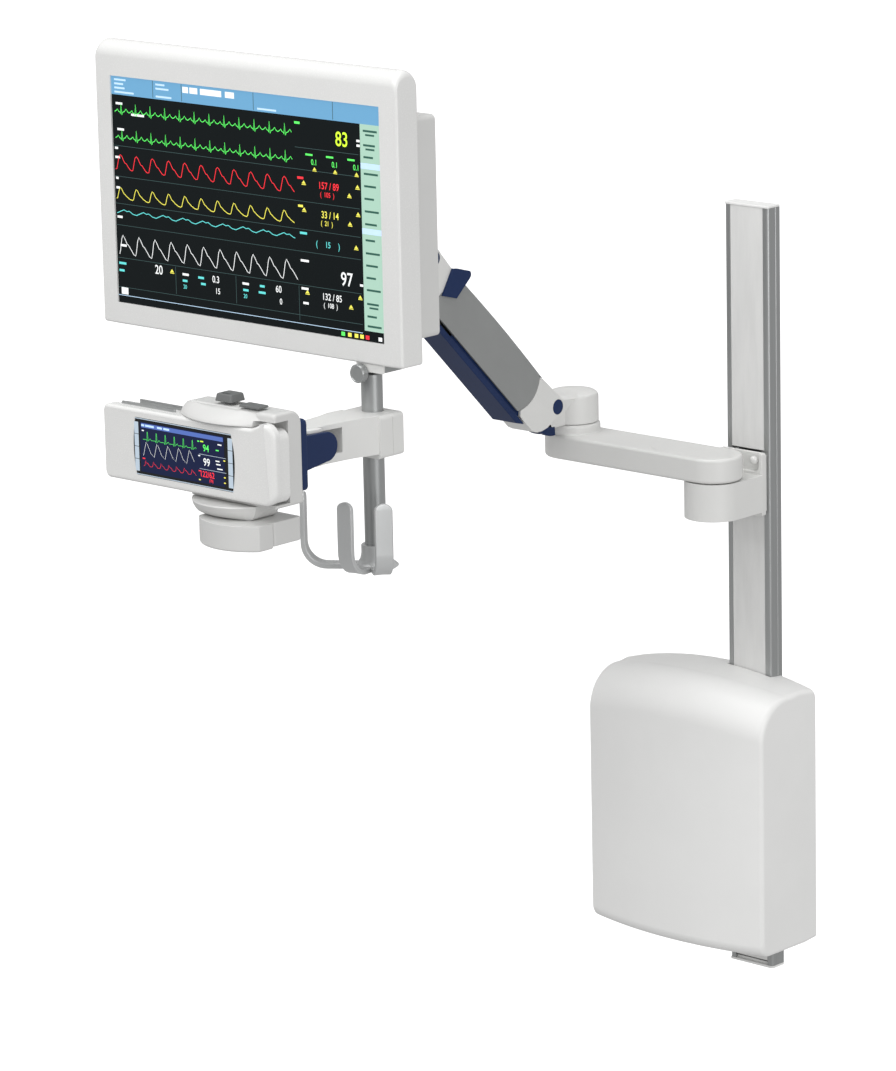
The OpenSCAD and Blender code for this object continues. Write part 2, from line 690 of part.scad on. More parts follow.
module dock_arm() color("whitesmoke") difference() {
    union() {
        translate([post_x - 31.5, post_y - 21, clamp_z]) cube([63, 20.7, clamp_h]);
        translate([0, 0, clamp_z + 6]) linear_extrude(clamp_h - 5.5) {
            polygon([[dk_x - 19, dk_y], [dk_x + 19, dk_y], [dk_x + 21, dk_y + 34],
                [post_x + 24, post_y - 45], [post_x + 29, post_y - 20], [post_x - 30, post_y - 20],
                [post_x - 26, post_y - 45], [dk_x - 21, dk_y + 34]]);
            translate([dk_x, dk_y]) circle(22);
        }
    }
    translate([post_x, post_y, clamp_z - 1]) cylinder(r = post_d/2 + 0.06, h = clamp_h + 6);
    translate([dk_x - 60, dk_y - 40, dk_z - 14.5]) cube([120, 78, 29]);
    translate([dk_x, dk_y, clamp_z - 1]) cylinder(r = 5, h = clamp_h + 4);
    for (s = [-1, 1]) translate([post_x + s*24, post_y - 14, clamp_z + clamp_h/2]) y_cyl(2.5, 20);
}

module clamp_cap() color("whitesmoke") difference() {
    translate([post_x, post_y + 0.3, clamp_z + clamp_h/2]) front_block(63, 18, clamp_h, 5);
    translate([post_x, post_y, clamp_z - 1]) cylinder(r = post_d/2 + 0.06, h = clamp_h + 6);
    for (s = [-1, 1]) translate([post_x + s*24, post_y, clamp_z + clamp_h/2]) {
        y_cyl(2.6, 30);
        translate([0, 13, 0]) y_cyl(5, 10);
    }
}

module clamp_screws() color("silver") for (s = [-1, 1])
    translate([post_x + s*24, post_y, clamp_z + clamp_h/2]) {
        translate([0, -14, 0]) y_cyl(2.45, 27.2);
        translate([0, 13.1, 0]) y_cyl(4.7, 4);
    }

module dock_swivel_pin() color("silver") {
    translate([dk_x, dk_y, clamp_z + 2]) cylinder(r = 5, h = clamp_h - 2);
}

module dock_knuckle() color("dimgray") difference() {
    union() {
        translate([dk_x, dk_y, dk_z - 14.2]) cylinder(r = 13, h = 28.4);
        translate([dk_x, dk_y, dk_z]) x_cyl(10, 57.4);
        translate([dk_x, dk_y, dk_z]) x_cyl(6, 70);
    }
    translate([dk_x, dk_y, dk_z - 20]) cylinder(r = 5 + pin_gap, h = 40);
}

// ---------- dock ----------

module dock_bracket() color("midnightblue") {
    plate_y = dock_back + 0.1;
    translate([post_x, plate_y, dk_z + 1]) front_block(90, 9.9, 82, 6);
    for (s = [-1, 1]) difference() {
        translate([dk_x + s*32, 0, 0]) union() {
            translate([0, dk_y, dk_z]) x_cyl(17, 6);
            translate([-3, plate_y + 9, dk_z - 17]) cube([6, dk_y - plate_y - 9, 34]);
            translate([-3, plate_y + 9, dk_z - 26]) cube([6, 8, 12]);
        }
        translate([dk_x + s*32, dk_y, dk_z]) x_cyl(6 + pin_gap, 20);
    }
}

// Side view of the dock, [y, z], shrunk by t: round at its upper back corner
module dock_side(t) {
    r = 16 - t;
    back = dock_back - t;
    front = dock_front + t;
    translate([front, dock_z + t]) square([back - front, dock_h - 16 - t]);
    translate([front, dock_z + t]) square([back - front - r, dock_h - 2*t]);
    translate([back - r, dock_top - 16]) circle(r);
}

// D-shaped lip under or over the small monitor, as wide as w, standing out by d
module lip(w, d, z, h) {
    r = (w*w/4 + d*d)/(2*d);
    translate([cradle_x, dock_front - d + r, z]) intersection() {
        cylinder(r = r, h = h, $fn = 128);
        translate([-w/2, -r, 0]) cube([w, d + 6, h]);
    }
}

module dock_housing() color("gainsboro") difference() {
    union() {
        translate([dock_x, 0, 0]) side_extrude(dock_w) dock_side(0);
        lip(108, 22, dock_top - 11, 9);
        lip(100, 26, dock_z - 18, 17);
        translate([cradle_x - 50, dock_front, dock_z - 18]) cube([100, 38, 18 + eps]);
    }
    // the cradle, as high as the small monitor with its raised end
    translate([dock_x - dock_w/2 - 1, dock_front - 1, mon_z - 0.5])
        cube([dock_w + 2, mon_back - dock_front + 1.5, mon_h + 1]);
    translate([cradle_x + 54.5, dock_front - 1, mon_z - 0.5])
        cube([dock_w, mon_back - dock_front + 1.5, mon_h + 8]);
    // inside
    difference() {
        translate([dock_x, 0, 0]) side_extrude(dock_w - 6) dock_side(3);
        translate([dock_x - dock_w/2, dock_front - 1, dock_z]) cube([dock_w, mon_back - dock_front + 5, dock_h]);
    }
    // bores of the two buttons and the slots over the fan
    for (p = [release_at, power_at]) translate([p[0], p[1], dock_top - 9.5]) cylinder(r = 6, h = 12);
    for (i = [-4:4]) translate([dock_x + 4 + i*6.5, dock_back - 22, dock_top - 8]) cube([3, 14, 12]);
}

release_at = [dock_x - 17, dock_front + 16];
power_at = [dock_x + 26, dock_front + 10];

module release_button() color("dimgray") translate([release_at[0], release_at[1], dock_top]) {
    translate([-13, -12, 3.3]) cube([26, 24, 9]);
    translate([0, 0, -6]) cylinder(r = 5.9, h = 9.5);
}

module power_button() color("dimgray") translate([power_at[0], power_at[1], dock_top]) {
    translate([-15, -9, 2.3]) cube([30, 18, 2.5]);
    translate([0, 0, -6]) cylinder(r = 5.9, h = 8.5);
}

module dock_base() color("gainsboro") {
    w = 95;
    d = 10;
    r = (w*w/4 + d*d)/(2*d);
    translate([base_x - w/2, dock_front - 24, dock_z - 48]) cube([w, 32, 29.8]);
    translate([base_x, dock_front - 24 - d + r, dock_z - 48]) intersection() {
        cylinder(r = r, h = 29.8, $fn = 128);
        translate([-w/2, -r, 0]) cube([w, d + 1, 29.8]);
    }
}

module connector_box() color("gainsboro") {
    translate([base_x - 30, dock_front + 8.2, dock_z - 46]) cube([77.5, 45, 27.6]);
}

// ---------- small monitor ----------

front_part = 16;                       // depth of the small monitor's front shell

module monitor_front_shell() color("whitesmoke") translate([mon_x, 0, mon_z + mon_h/2]) difference() {
    union() {
        translate([0, mon_front, 0]) front_block(mon_w, front_part, mon_h, 14);
        // the right end stands a little higher, beyond the dock's lip
        translate([mon_w/2 - 30, mon_front, 3.5]) front_block(60, front_part, mon_h + 7, 14);
    }
    translate([0, mon_front + 1.3, 0]) front_block(mon_w - 5, front_part, mon_h - 5, 11.5);
    translate([mscreen_x - mon_x, mon_front - 1, 0]) front_block(mscreen_w, 6, mscreen_h, 3);
    translate([mon_w/2 - 80, mon_front - 1, mon_h/2 + 0.01]) cube([51.5, front_part + 2, 9]);
}

module monitor_rear_shell() color("whitesmoke")
    translate([mon_x, mon_front + front_part + 0.1, mon_z + mon_h/2]) difference() {
        d = mon_back - mon_front - front_part - 0.1;
        front_block(mon_w - 2, d, mon_h - 2, 13);
        translate([0, -1, 0]) front_block(mon_w - 7, d - 1, mon_h - 7, 11);
        // contacts towards the dock
        translate([60, d - 3, -20]) front_block(40, 4, 16, 2);
    }

module monitor_glass() color("black") translate([mscreen_x, mon_front + 1.4, mon_z + mon_h/2])
    front_block(mscreen_w + 8, 2, mscreen_h + 8, 4);

module monitor_display() color("silver") translate([mscreen_x, mon_front + 3.5, mon_z + mon_h/2])
    front_block(mscreen_w + 4, 6, mscreen_h + 6, 1);

module monitor_battery() color("black") translate([mon_x - 80, mon_front + 11, mon_z + mon_h/2])
    front_block(80, 18, 60, 3);

module monitor_rails() color("gainsboro") {
    translate([mon_x - 114, mon_front + 13, mon_z + mon_h + 0.05]) cube([86, 2.5, 3]);
    translate([mon_x - 100, mon_front + 28, mon_z + mon_h - 0.95]) cube([76, 2.5, 5]);
}

rail_channel();
rail_strips();
rail_end_caps();
carriage_plate();
carriage_housing();
carriage_clamp_bars();
carriage_bolts();
extension_pin();
box_back_plate();
box_cover();
power_supply();
box_screws();
extension_arm();
extension_bush();
elbow_pin();
elbow_collar();
elbow_knuckle();
rear_arm_pins();
arm_beam();
arm_upper_cover();
rear_arm_cap();
front_arm_cap();
pivot_caps();
gas_spring();
cable_clip();
lower_link();
front_knuckle();
front_arm_pins();
head_pin();
head_arm();
tilt_pin();
vesa_bracket();
display_rear_shell();
display_front_shell();
display_glass();
lcd_panel();
display_board();
display_screws();
post_bracket();
bracket_cover();
post_tube();
cable_hook();
post_lock_knob();
dock_arm();
clamp_cap();
clamp_screws();
dock_swivel_pin();
dock_knuckle();
dock_bracket();
dock_housing();
dock_base();
connector_box();
release_button();
power_button();
monitor_front_shell();
monitor_rear_shell();
monitor_glass();
monitor_display();
monitor_battery();
monitor_rails();
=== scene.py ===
"""Wall-mounted patient monitoring workstation: the visual pieces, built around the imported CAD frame."""

import json
import math

import bmesh
import bpy
from mathutils import Matrix, Vector


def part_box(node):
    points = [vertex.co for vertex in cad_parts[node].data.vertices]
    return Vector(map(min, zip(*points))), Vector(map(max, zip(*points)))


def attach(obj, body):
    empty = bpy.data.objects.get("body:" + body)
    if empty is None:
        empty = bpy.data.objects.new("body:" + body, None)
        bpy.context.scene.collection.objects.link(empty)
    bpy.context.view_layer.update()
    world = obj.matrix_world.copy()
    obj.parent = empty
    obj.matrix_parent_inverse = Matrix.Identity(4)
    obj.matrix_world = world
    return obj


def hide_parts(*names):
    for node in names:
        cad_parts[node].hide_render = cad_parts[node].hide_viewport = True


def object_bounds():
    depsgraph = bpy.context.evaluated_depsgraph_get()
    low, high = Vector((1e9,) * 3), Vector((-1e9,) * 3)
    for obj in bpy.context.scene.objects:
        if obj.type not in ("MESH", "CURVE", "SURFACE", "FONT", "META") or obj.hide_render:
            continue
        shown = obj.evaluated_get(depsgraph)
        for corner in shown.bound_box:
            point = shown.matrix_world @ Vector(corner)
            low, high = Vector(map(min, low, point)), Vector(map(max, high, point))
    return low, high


MM = 0.001
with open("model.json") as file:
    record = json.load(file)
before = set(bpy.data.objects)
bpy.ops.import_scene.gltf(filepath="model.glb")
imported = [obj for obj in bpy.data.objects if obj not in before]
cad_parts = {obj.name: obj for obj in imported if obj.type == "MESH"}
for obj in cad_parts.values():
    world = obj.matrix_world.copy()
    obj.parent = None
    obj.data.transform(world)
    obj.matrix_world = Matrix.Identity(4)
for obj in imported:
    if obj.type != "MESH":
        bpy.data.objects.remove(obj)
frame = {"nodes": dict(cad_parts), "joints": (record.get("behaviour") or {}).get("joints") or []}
cad_low, cad_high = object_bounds()


def box(node):
    """Lowest and highest corner of a CAD node, in millimetres."""
    low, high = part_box(node)
    return Vector(low) / MM, Vector(high) / MM


def middle(node):
    """Centre of a CAD node's box, in millimetres."""
    low, high = box(node)
    return (low + high) / 2


def joint_at(name):
    """A joint's position in millimetres."""
    found = next(j for j in frame["joints"] if j["name"] == name)
    return Vector(found["pos_m"]) / MM


# ---------------------------------------------------------------- materials


def nodes_of(material):
    """Node tree, its Principled shader and a maker of linked nodes."""
    tree = material.node_tree
    shader = next(n for n in tree.nodes if n.type == "BSDF_PRINCIPLED")

    def add(kind, **settings):
        node = tree.nodes.new(kind)
        for key, value in settings.items():
            if key in node.inputs:
                node.inputs[key].default_value = value
            else:
                setattr(node, key, value)
        return node

    return tree, shader, add


def surface(name, colour, rough, metallic=0.0, coat=0.0, grain=900.0, bump=0.02, mottle=0.03,
        stretch=(1, 1, 1), edge_highlight=0.0, shine=0.5):
    """A procedural surface: fine grain in its bump and roughness, broad mottling in its colour, and a
    painted highlight that makes convex edges lighter.
    """
    material = bpy.data.materials.new(name)
    material.use_nodes = True
    tree, shader, add = nodes_of(material)
    link = tree.links.new
    shader.inputs["Metallic"].default_value = metallic
    shader.inputs["Coat Weight"].default_value = coat
    shader.inputs["Coat Roughness"].default_value = 0.12
    shader.inputs["Specular IOR Level"].default_value = shine
    place = add("ShaderNodeTexCoord")
    scale = add("ShaderNodeMapping")
    scale.inputs["Scale"].default_value = stretch
    link(place.outputs["Object"], scale.inputs["Vector"])
    fine = add("ShaderNodeTexNoise", Scale=grain, Detail=3.0, Roughness=0.6)
    broad = add("ShaderNodeTexNoise", Scale=14.0, Detail=4.0, Roughness=0.55)
    link(scale.outputs["Vector"], fine.inputs["Vector"])
    link(scale.outputs["Vector"], broad.inputs["Vector"])
    ramp = add("ShaderNodeValToRGB")
    dark = [max(0.0, c * (1 - mottle)) for c in colour]
    light = [min(1.0, c * (1 + mottle)) for c in colour]
    ramp.color_ramp.elements[0].position = 0.35
    ramp.color_ramp.elements[1].position = 0.65
    ramp.color_ramp.elements[0].color = (*dark, 1)
    ramp.color_ramp.elements[1].color = (*light, 1)
    link(broad.outputs["Fac"], ramp.inputs["Fac"])
    tint = ramp.outputs["Color"]
    # painted highlight: convex edges, found from pointiness, are made a little lighter
    if edge_highlight:
        shape = add("ShaderNodeNewGeometry")
        edge = add("ShaderNodeMapRange")
        edge.inputs["From Min"].default_value = 0.52
        edge.inputs["From Max"].default_value = 0.62
        edge.inputs["To Max"].default_value = edge_highlight
        link(shape.outputs["Pointiness"], edge.inputs["Value"])
        edge_brighten = add("ShaderNodeMixRGB", blend_type="ADD")
        edge_brighten.inputs["Color2"].default_value = (0.25, 0.25, 0.25, 1)
        link(edge.outputs["Result"], edge_brighten.inputs["Fac"])
        link(tint, edge_brighten.inputs["Color1"])
        tint = edge_brighten.outputs["Color"]
    link(tint, shader.inputs["Base Color"])
    spread = add("ShaderNodeMapRange")
    spread.inputs["To Min"].default_value = max(0.04, rough - 0.05)
    spread.inputs["To Max"].default_value = min(1.0, rough + 0.06)
    link(fine.outputs["Fac"], spread.inputs["Value"])
    link(spread.outputs["Result"], shader.inputs["Roughness"])
    relief = add("ShaderNodeBump", Strength=bump)
    relief.inputs["Distance"].default_value = 0.0002
    link(fine.outputs["Fac"], relief.inputs["Height"])
    link(relief.outputs["Normal"], shader.inputs["Normal"])
    return material


def screen_light(name, colour, strength=0.9):
    """A lit patch of a screen: its own light, faintly uneven, under a smooth front."""
    material = bpy.data.materials.new(name)
    material.use_nodes = True
    tree, shader, add = nodes_of(material)
    shader.inputs["Base Color"].default_value = (*[c * 0.3 for c in colour], 1)
    shader.inputs["Roughness"].default_value = 0.35
    shader.inputs["Specular IOR Level"].default_value = 0.1
    shader.inputs["Emission Strength"].default_value = strength
    noise = add("ShaderNodeTexNoise", Scale=60.0, Detail=2.0)
    ramp = add("ShaderNodeValToRGB")
    ramp.color_ramp.elements[0].color = (*[c * 0.9 for c in colour], 1)
    ramp.color_ramp.elements[1].color = (*colour, 1)
    tree.links.new(noise.outputs["Fac"], ramp.inputs["Fac"])
    tree.links.new(ramp.outputs["Color"], shader.inputs["Emission Color"])
    return material


# the white enamel carries a faint painted highlight on its convex edges
WHITE = surface("white_enamel", (0.74, 0.74, 0.725), 0.34, coat=0.1, bump=0.03, mottle=0.012,
    edge_highlight=0.06)
GLOSS_WHITE = surface("white_gloss_plastic", (0.76, 0.76, 0.75), 0.26, coat=0.15, bump=0.012,
    mottle=0.01)
BOX_WHITE = surface("white_moulded_plastic", (0.87, 0.87, 0.86), 0.38, bump=0.05, grain=1400,
    mottle=0.01)
PALE_GRAY = surface("pale_gray_plastic", (0.64, 0.64, 0.63), 0.36, bump=0.04, grain=1300, mottle=0.012)
COVER_GRAY = surface("gray_moulded_plastic", (0.275, 0.282, 0.280), 0.42, bump=0.06, grain=1300)
BLUE = surface("navy_plastic", (0.010, 0.026, 0.092), 0.45, bump=0.05, grain=1200, mottle=0.06,
    shine=0.2)
BLUE_PAINT = surface("navy_powder_coat", (0.010, 0.025, 0.088), 0.42, bump=0.10, grain=1600,
    mottle=0.05, shine=0.25)
POST_GRAY = surface("metallic_gray_paint", (0.36, 0.37, 0.37), 0.30, metallic=0.55, coat=0.1,
    grain=2400, bump=0.05)
HOOK_GRAY = surface("pearl_gray_paint", (0.58, 0.59, 0.59), 0.32, metallic=0.25, coat=0.2, grain=2400,
    bump=0.04)
ALUMINIUM = surface("anodised_aluminium", (0.42, 0.43, 0.43), 0.34, metallic=0.85, grain=700,
    stretch=(60, 60, 1), bump=0.10)
STRIP = surface("infill_strip_plastic", (0.76, 0.76, 0.75), 0.40, grain=900, stretch=(8, 8, 1))
STEEL = surface("turned_steel", (0.56, 0.56, 0.57), 0.28, metallic=1.0, grain=1800, bump=0.06)
BRASS = surface("bearing_brass", (0.62, 0.45, 0.18), 0.30, metallic=1.0, grain=1500, bump=0.05)
DARK_GRAY = surface("dark_gray_plastic", (0.105, 0.108, 0.108), 0.42, bump=0.08, grain=1500)
KEY_GRAY = surface("key_gray_rubber", (0.145, 0.15, 0.15), 0.5, bump=0.08, grain=1500)
BLACK = surface("black_plastic", (0.012, 0.013, 0.014), 0.35, bump=0.05, shine=0.2)
SCREEN_BLACK = surface("screen_glass_black", (0.006, 0.009, 0.010), 0.2, grain=300, bump=0.0, shine=0.1)
BOARD = surface("board_green", (0.02, 0.14, 0.06), 0.45, grain=500, bump=0.1, mottle=0.2)

# ---------------------------------------------------------------- mesh tools (millimetres)

PLANES = {
    "front": lambda u, v, w: (u, w, v),
    "side": lambda u, v, w: (w, u, v),
    "plan": lambda u, v, w: (u, v, w),
}


def arc(cu, cv, r, start, end, steps=12):
    """Points on an arc, angles in degrees."""
    angles = [math.radians(start + (end - start) * i / steps) for i in range(steps + 1)]
    return [(cu + r * math.cos(a), cv + r * math.sin(a)) for a in angles]


def round_rect(u0, v0, u1, v1, r, steps=8):
    """Outline of a rectangle with round corners; r is one radius or four, from the lower left round."""
    radii = r if isinstance(r, (tuple, list)) else (r,) * 4
    corners = [(u0, v0, 1, 1, 180), (u1, v0, -1, 1, 270), (u1, v1, -1, -1, 0), (u0, v1, 1, -1, 90)]
    points = []
    for (u, v, su, sv, start), radius in zip(corners, radii):
        points += arc(u + su * radius, v + sv * radius, radius, start, start + 90, steps)
    return points


def face_of(low, high, plane, r):
    """Rounded outline of a box, seen from the front or in plan."""
    up = {"front": 2, "plan": 1}[plane]
    return round_rect(low.x, low[up], high.x, high[up], r)


def level(outline, z):
    """A plan outline as a ring of points at one height."""
    return [Vector((u, v, z)) for u, v in outline]


def prism(outline, low, high, plane):
    """A straight solid on an outline, from low to high across its plane."""
    shape = bmesh.new()
    put = PLANES[plane]
    rings = [[shape.verts.new(put(u, v, w)) for u, v in outline] for w in (low, high)]
    shape.faces.new(rings[0])
    shape.faces.new(reversed(rings[1]))
    count = len(outline)
    for i in range(count):
        j = (i + 1) % count
        shape.faces.new((rings[0][i], rings[1][i], rings[1][j], rings[0][j]))
    bmesh.ops.recalc_face_normals(shape, faces=shape.faces)
    return shape


def block(low, high):
    """A rectangular block between two corners."""
    return prism([(low[0], low[1]), (high[0], low[1]), (high[0], high[1]), (low[0], high[1])], low[2],
        high[2], "plan")


def loft(rings):
    """A closed skin through rings of points that all have the same count."""
    shape = bmesh.new()
    made = [[shape.verts.new(p) for p in ring] for ring in rings]
    count = len(rings[0])
    for a, b in zip(made, made[1:]):
        for i in range(count):
            j = (i + 1) % count
            shape.faces.new((a[i], a[j], b[j], b[i]))
    shape.faces.new(reversed(made[0]))
    shape.faces.new(made[-1])
    bmesh.ops.remove_doubles(shape, verts=shape.verts, dist=1e-4)
    bmesh.ops.recalc_face_normals(shape, faces=shape.faces)
    return shape


def lathe(profile, centre, axis="z", steps=64):
    """A turned solid: profile is (radius, place along the axis) pairs from one end to the other."""
    put = {"z": lambda c, s, t: (c, s, t),
           "y": lambda c, s, t: (s, t, c),
           "x": lambda c, s, t: (t, c, s)}[axis]
    rings = []
    for radius, along in profile:
        ring = []
        for i in range(steps):
            a = 2 * math.pi * i / steps
            ring.append(Vector(put(radius * math.cos(a), radius * math.sin(a), along)) + Vector(centre))
        rings.append(ring)
    return loft(rings)


def rod(radius, start, end, centre, axis="z", steps=64):
    """A plain turned rod, from start to end along its axis."""
    return lathe([(0.01, start), (radius, start), (radius, end), (0.01, end)], centre, axis, steps)


def join(*shapes):
    """Several shapes in one mesh."""
    whole = bmesh.new()
    for shape in shapes:
        mesh = bpy.data.meshes.new("part")
        shape.to_mesh(mesh)
        whole.from_mesh(mesh)
        bpy.data.meshes.remove(mesh)
        shape.free()
    return whole


def inset(outline, amount):
    """An outline moved inwards by an amount, corner by corner."""
    area = sum(a[0] * b[1] - b[0] * a[1] for a, b in zip(outline, outline[1:] + outline[:1]))
    turn = 1 if area > 0 else -1
    moved = []
    for i, point in enumerate(outline):
        here = Vector(point)
        before = (here - Vector(outline[i - 1]))
        after = (Vector(outline[(i + 1) % len(outline)]) - here)
        if before.length < 1e-6 or after.length < 1e-6:
            before = after = before if before.length > after.length else after
        before.normalize()
        after.normalize()
        n1, n2 = Vector((-before.y, before.x)) * turn, Vector((-after.y, after.x)) * turn
        moved.append(here + (n1 + n2) * amount / max(0.3, 1 + n1.dot(n2)))
    return [(p.x, p.y) for p in moved]


def soft_prism(outline, low, high, plane, r_low, r_high, steps=6):
    """A straight solid whose two end faces have rounded edges."""
    put = PLANES[plane]
    rings = []
    for i in range(steps + 1):
        a = math.radians(90 * i / steps)
        ring = inset(outline, r_low * (1 - math.sin(a)))
        rings.append([Vector(put(u, v, low + r_low * (1 - math.cos(a)))) for u, v in ring])
    for i in range(steps + 1):
        a = math.radians(90 * (1 - i / steps))
        ring = inset(outline, r_high * (1 - math.sin(a)))
        rings.append([Vector(put(u, v, high - r_high * (1 - math.cos(a)))) for u, v in ring])
    return loft(rings)


def boolean(operation, base, *others):
    """Union or difference of closed shapes."""
    def temporary(shape):
        mesh = bpy.data.meshes.new("part")
        shape.to_mesh(mesh)
        shape.free()
        thing = bpy.data.objects.new("part", mesh)
        bpy.context.scene.collection.objects.link(thing)
        return thing

    first = temporary(base)
    rest = [temporary(shape) for shape in others]
    for thing in rest:
        modifier = first.modifiers.new("cut", "BOOLEAN")
        modifier.operation = operation
        modifier.solver = "EXACT"
        modifier.object = thing
    graph = bpy.context.evaluated_depsgraph_get()
    mesh = bpy.data.meshes.new_from_object(first.evaluated_get(graph))
    result = bmesh.new()
    result.from_mesh(mesh)
    bpy.data.meshes.remove(mesh)
    for thing in [first] + rest:
        old = thing.data
        bpy.data.objects.remove(thing)
        bpy.data.meshes.remove(old)
    bmesh.ops.remove_doubles(result, verts=result.verts, dist=1e-3)
    bmesh.ops.dissolve_limit(result, angle_limit=math.radians(0.5), verts=result.verts,
        edges=result.edges)
    return result


def cut(base, *tools):
    """The base less its tools."""
    return boolean("DIFFERENCE", base, *tools)


def unite(base, *others):
    """One solid from several."""
    return boolean("UNION", base, *others)


def piece(name, shape, body, material, replaces=(), bevel=0.0, segments=3, angle=32.0,
        matrix=None):
    """Makes a shape into a named object with softened edges that rides on a CAD body."""
    if matrix is not None:
        shape.transform(matrix)
    shape.transform(Matrix.Scale(MM, 4))
    mesh = bpy.data.meshes.new(name)
    shape.to_mesh(mesh)
    shape.free()
    mesh.materials.append(material)
    for face in mesh.polygons:
        face.use_smooth = True
    thing = bpy.data.objects.new(name, mesh)
    bpy.context.scene.collection.objects.link(thing)
    if bevel:
        soften = thing.modifiers.new("soften", "BEVEL")
        soften.width = bevel * MM
        soften.segments = segments
        soften.limit_method = "ANGLE"
        soften.angle_limit = math.radians(angle)
        soften.use_clamp_overlap = True
        soften.miter_outer = "MITER_ARC"
    else:
        mesh.set_sharp_from_angle(angle=math.radians(angle))
    weigh = thing.modifiers.new("weigh", "WEIGHTED_NORMAL")
    weigh.keep_sharp = True
    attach(thing, body)
    if replaces:
        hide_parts(*replaces)
    return thing


ARM_LEAN = -45.0


def arm_matrix(pivot):
    """The spring arm's own frame: origin on its rear pivot, the arm along -Y, its top along +Z."""
    return Matrix.Translation(pivot) @ Matrix.Rotation(math.radians(ARM_LEAN), 4, "X")


def dress(node, material):
    """Gives a CAD node that is kept as it is a procedural material."""
    thing = frame["nodes"][node]
    thing.data.materials.clear()
    thing.data.materials.append(material)


# ---------------------------------------------------------------- wall rail

def rail_outline(half, depth):
    """The channel's section, [x, y]: round front corners, a fine groove on each side, an open slot."""
    right = [(half, 0), (half, -7.6), (half - 0.8, -8.2), (half - 0.8, -9.4), (half, -10.0)]
    right += arc(half - 4, -depth + 4, 4, 0, -90, 8)
    right += [(half - 8.4, -depth), (half - 8.4, -depth + 4), (half - 4, -depth + 4), (half - 4, -4)]
    return right + [(-x, y) for x, y in reversed(right)]


low, high = box("rail_channel")
rail = prism(rail_outline(high.x, -low.y), low.z, high.z, "plan")
piece("rail", rail, "wall_unit", ALUMINIUM, ["rail_channel"], bevel=0.35, segments=2)

strip_low, strip_high = box("rail_strips")
plate_low, plate_high = box("carriage_plate")
strips = []
for z_from, z_to in ((strip_low.z, plate_low.z - 0.5), (plate_high.z + 0.5, strip_high.z)):
    crown = [(strip_low.x, strip_low.y + 1.2)]
    crown += [(strip_low.x + (strip_high.x - strip_low.x) * i / 12,
        strip_low.y + 0.35 * (i / 6 - 1) ** 2) for i in range(13)]
    crown += [(strip_high.x, strip_low.y + 1.2), (strip_high.x - 2, strip_low.y + 2.4),
        (strip_low.x + 2, strip_low.y + 2.4)]
    strips.append(prism(crown, z_from, z_to, "plan"))
piece("rail_infill", join(*strips), "wall_unit", STRIP, ["rail_strips"], bevel=0.25,
    segments=2)

cap_low, cap_high = box("rail_end_caps")
caps = []
for z_from, z_to in ((cap_low.z, low.z), (high.z, cap_high.z)):
    face = face_of(cap_low, cap_high, "plan", (4, 4, 1, 1))
    caps.append(prism(face, z_from, z_to, "plan"))
    grip = round_rect(cap_low.x + 6, cap_low.y + 5, cap_high.x - 6, cap_high.y - 5, 2)
    caps.append(prism(grip, z_from - 3 if z_from > 0 else z_to, z_from if z_from > 0 else z_to + 3,
        "plan"))
piece("rail_caps", join(*caps), "wall_unit", BOX_WHITE, ["rail_end_caps"], bevel=0.7)

# ---------------------------------------------------------------- carriage

swivel = joint_at("extension_swivel")
house_low, house_high = box("carriage_housing")
bolt_low, bolt_high = box("carriage_bolts")
bolt_r = 5.2
bolt_places = [(x, z) for x in (bolt_low.x + bolt_r, bolt_high.x - bolt_r)
    for z in (bolt_low.z + bolt_r, bolt_high.z - bolt_r)]
half_w = plate_high.x

plate = prism(face_of(plate_low, plate_high, "front", 3), plate_low.y, -29.8, "front")
pocket = prism(round_rect(-half_w + 5, house_high.z + 3, half_w - 5, plate_high.z + 20, 9),
    plate_low.y - 1, plate_low.y + 3, "front")
recess = [rod(7.5, 0, 9, (x, plate_low.y - 5, bolt_low.z + bolt_r), "y")
    for x in (bolt_low.x + bolt_r, bolt_high.x - bolt_r)]
plate = cut(plate, pocket)
pad = block((-half_w + 4, -29.9, plate_low.z + 4), (half_w - 4, plate_high.y, plate_high.z - 4))
piece("carriage_back", join(plate, pad), "wall_unit", WHITE, ["carriage_plate"],
    bevel=0.9)

r = -house_low.x
house = [(r, house_high.y)] + arc(0, swivel.y, r, 0, -180, 40) + [(-r, house_high.y)]
body = prism(house, house_low.z, house_high.z, "plan")
body = cut(body, *recess)
piece("swivel_housing", body, "wall_unit", WHITE, ["carriage_housing"], bevel=2.2,
    segments=4)

heads = []
for x, z in bolt_places:
    dome = [(0.01, bolt_low.y), (2.2, bolt_low.y + 0.15), (3.9, bolt_low.y + 0.8),
        (5.0, bolt_low.y + 2.0), (5.2, bolt_low.y + 3.2), (5.2, plate_low.y), (2.9, plate_low.y),
        (2.9, bolt_high.y), (0.01, bolt_high.y)]
    heads.append(lathe(dome, (x, 0, z), "y", 40))
piece("carriage_bolt_set", join(*heads), "wall_unit", WHITE, ["carriage_bolts"])

# ---------------------------------------------------------------- supply box

box_low, box_high = box("box_cover")
width = box_high.x - box_low.x
cx = (box_low.x + box_high.x) / 2
crown_rise = 17
upper_r, lower_r = 50, 16
side_top = box_high.z - crown_rise
bow_depth = 20
bow = ((width / 2) ** 2 + bow_depth ** 2) / (2 * bow_depth)


def box_ring(x):
    """Side view of the supply box at one x: bowed front, large round on top, small below."""
    u = (x - cx) / (width / 2)
    front = box_low.y + bow - math.sqrt(bow * bow - (u * width / 2) ** 2)
    top = side_top + crown_rise * (1 - u * u)
    ring = [(0.0, box_low.z + 2), (0.0, top - 10)]
    ring += arc(-8, top - 10, 8, 0, 60, 4)[1:]
    ring += [(-34, top)]
    ring += arc(front + upper_r, top - upper_r - 1.5, upper_r, 82, 180, 18)
    ring += arc(front + lower_r, box_low.z + lower_r, lower_r, 180, 270, 8)
    ring += [(-20, box_low.z)]
    return [(x, y, z) for y, z in ring]


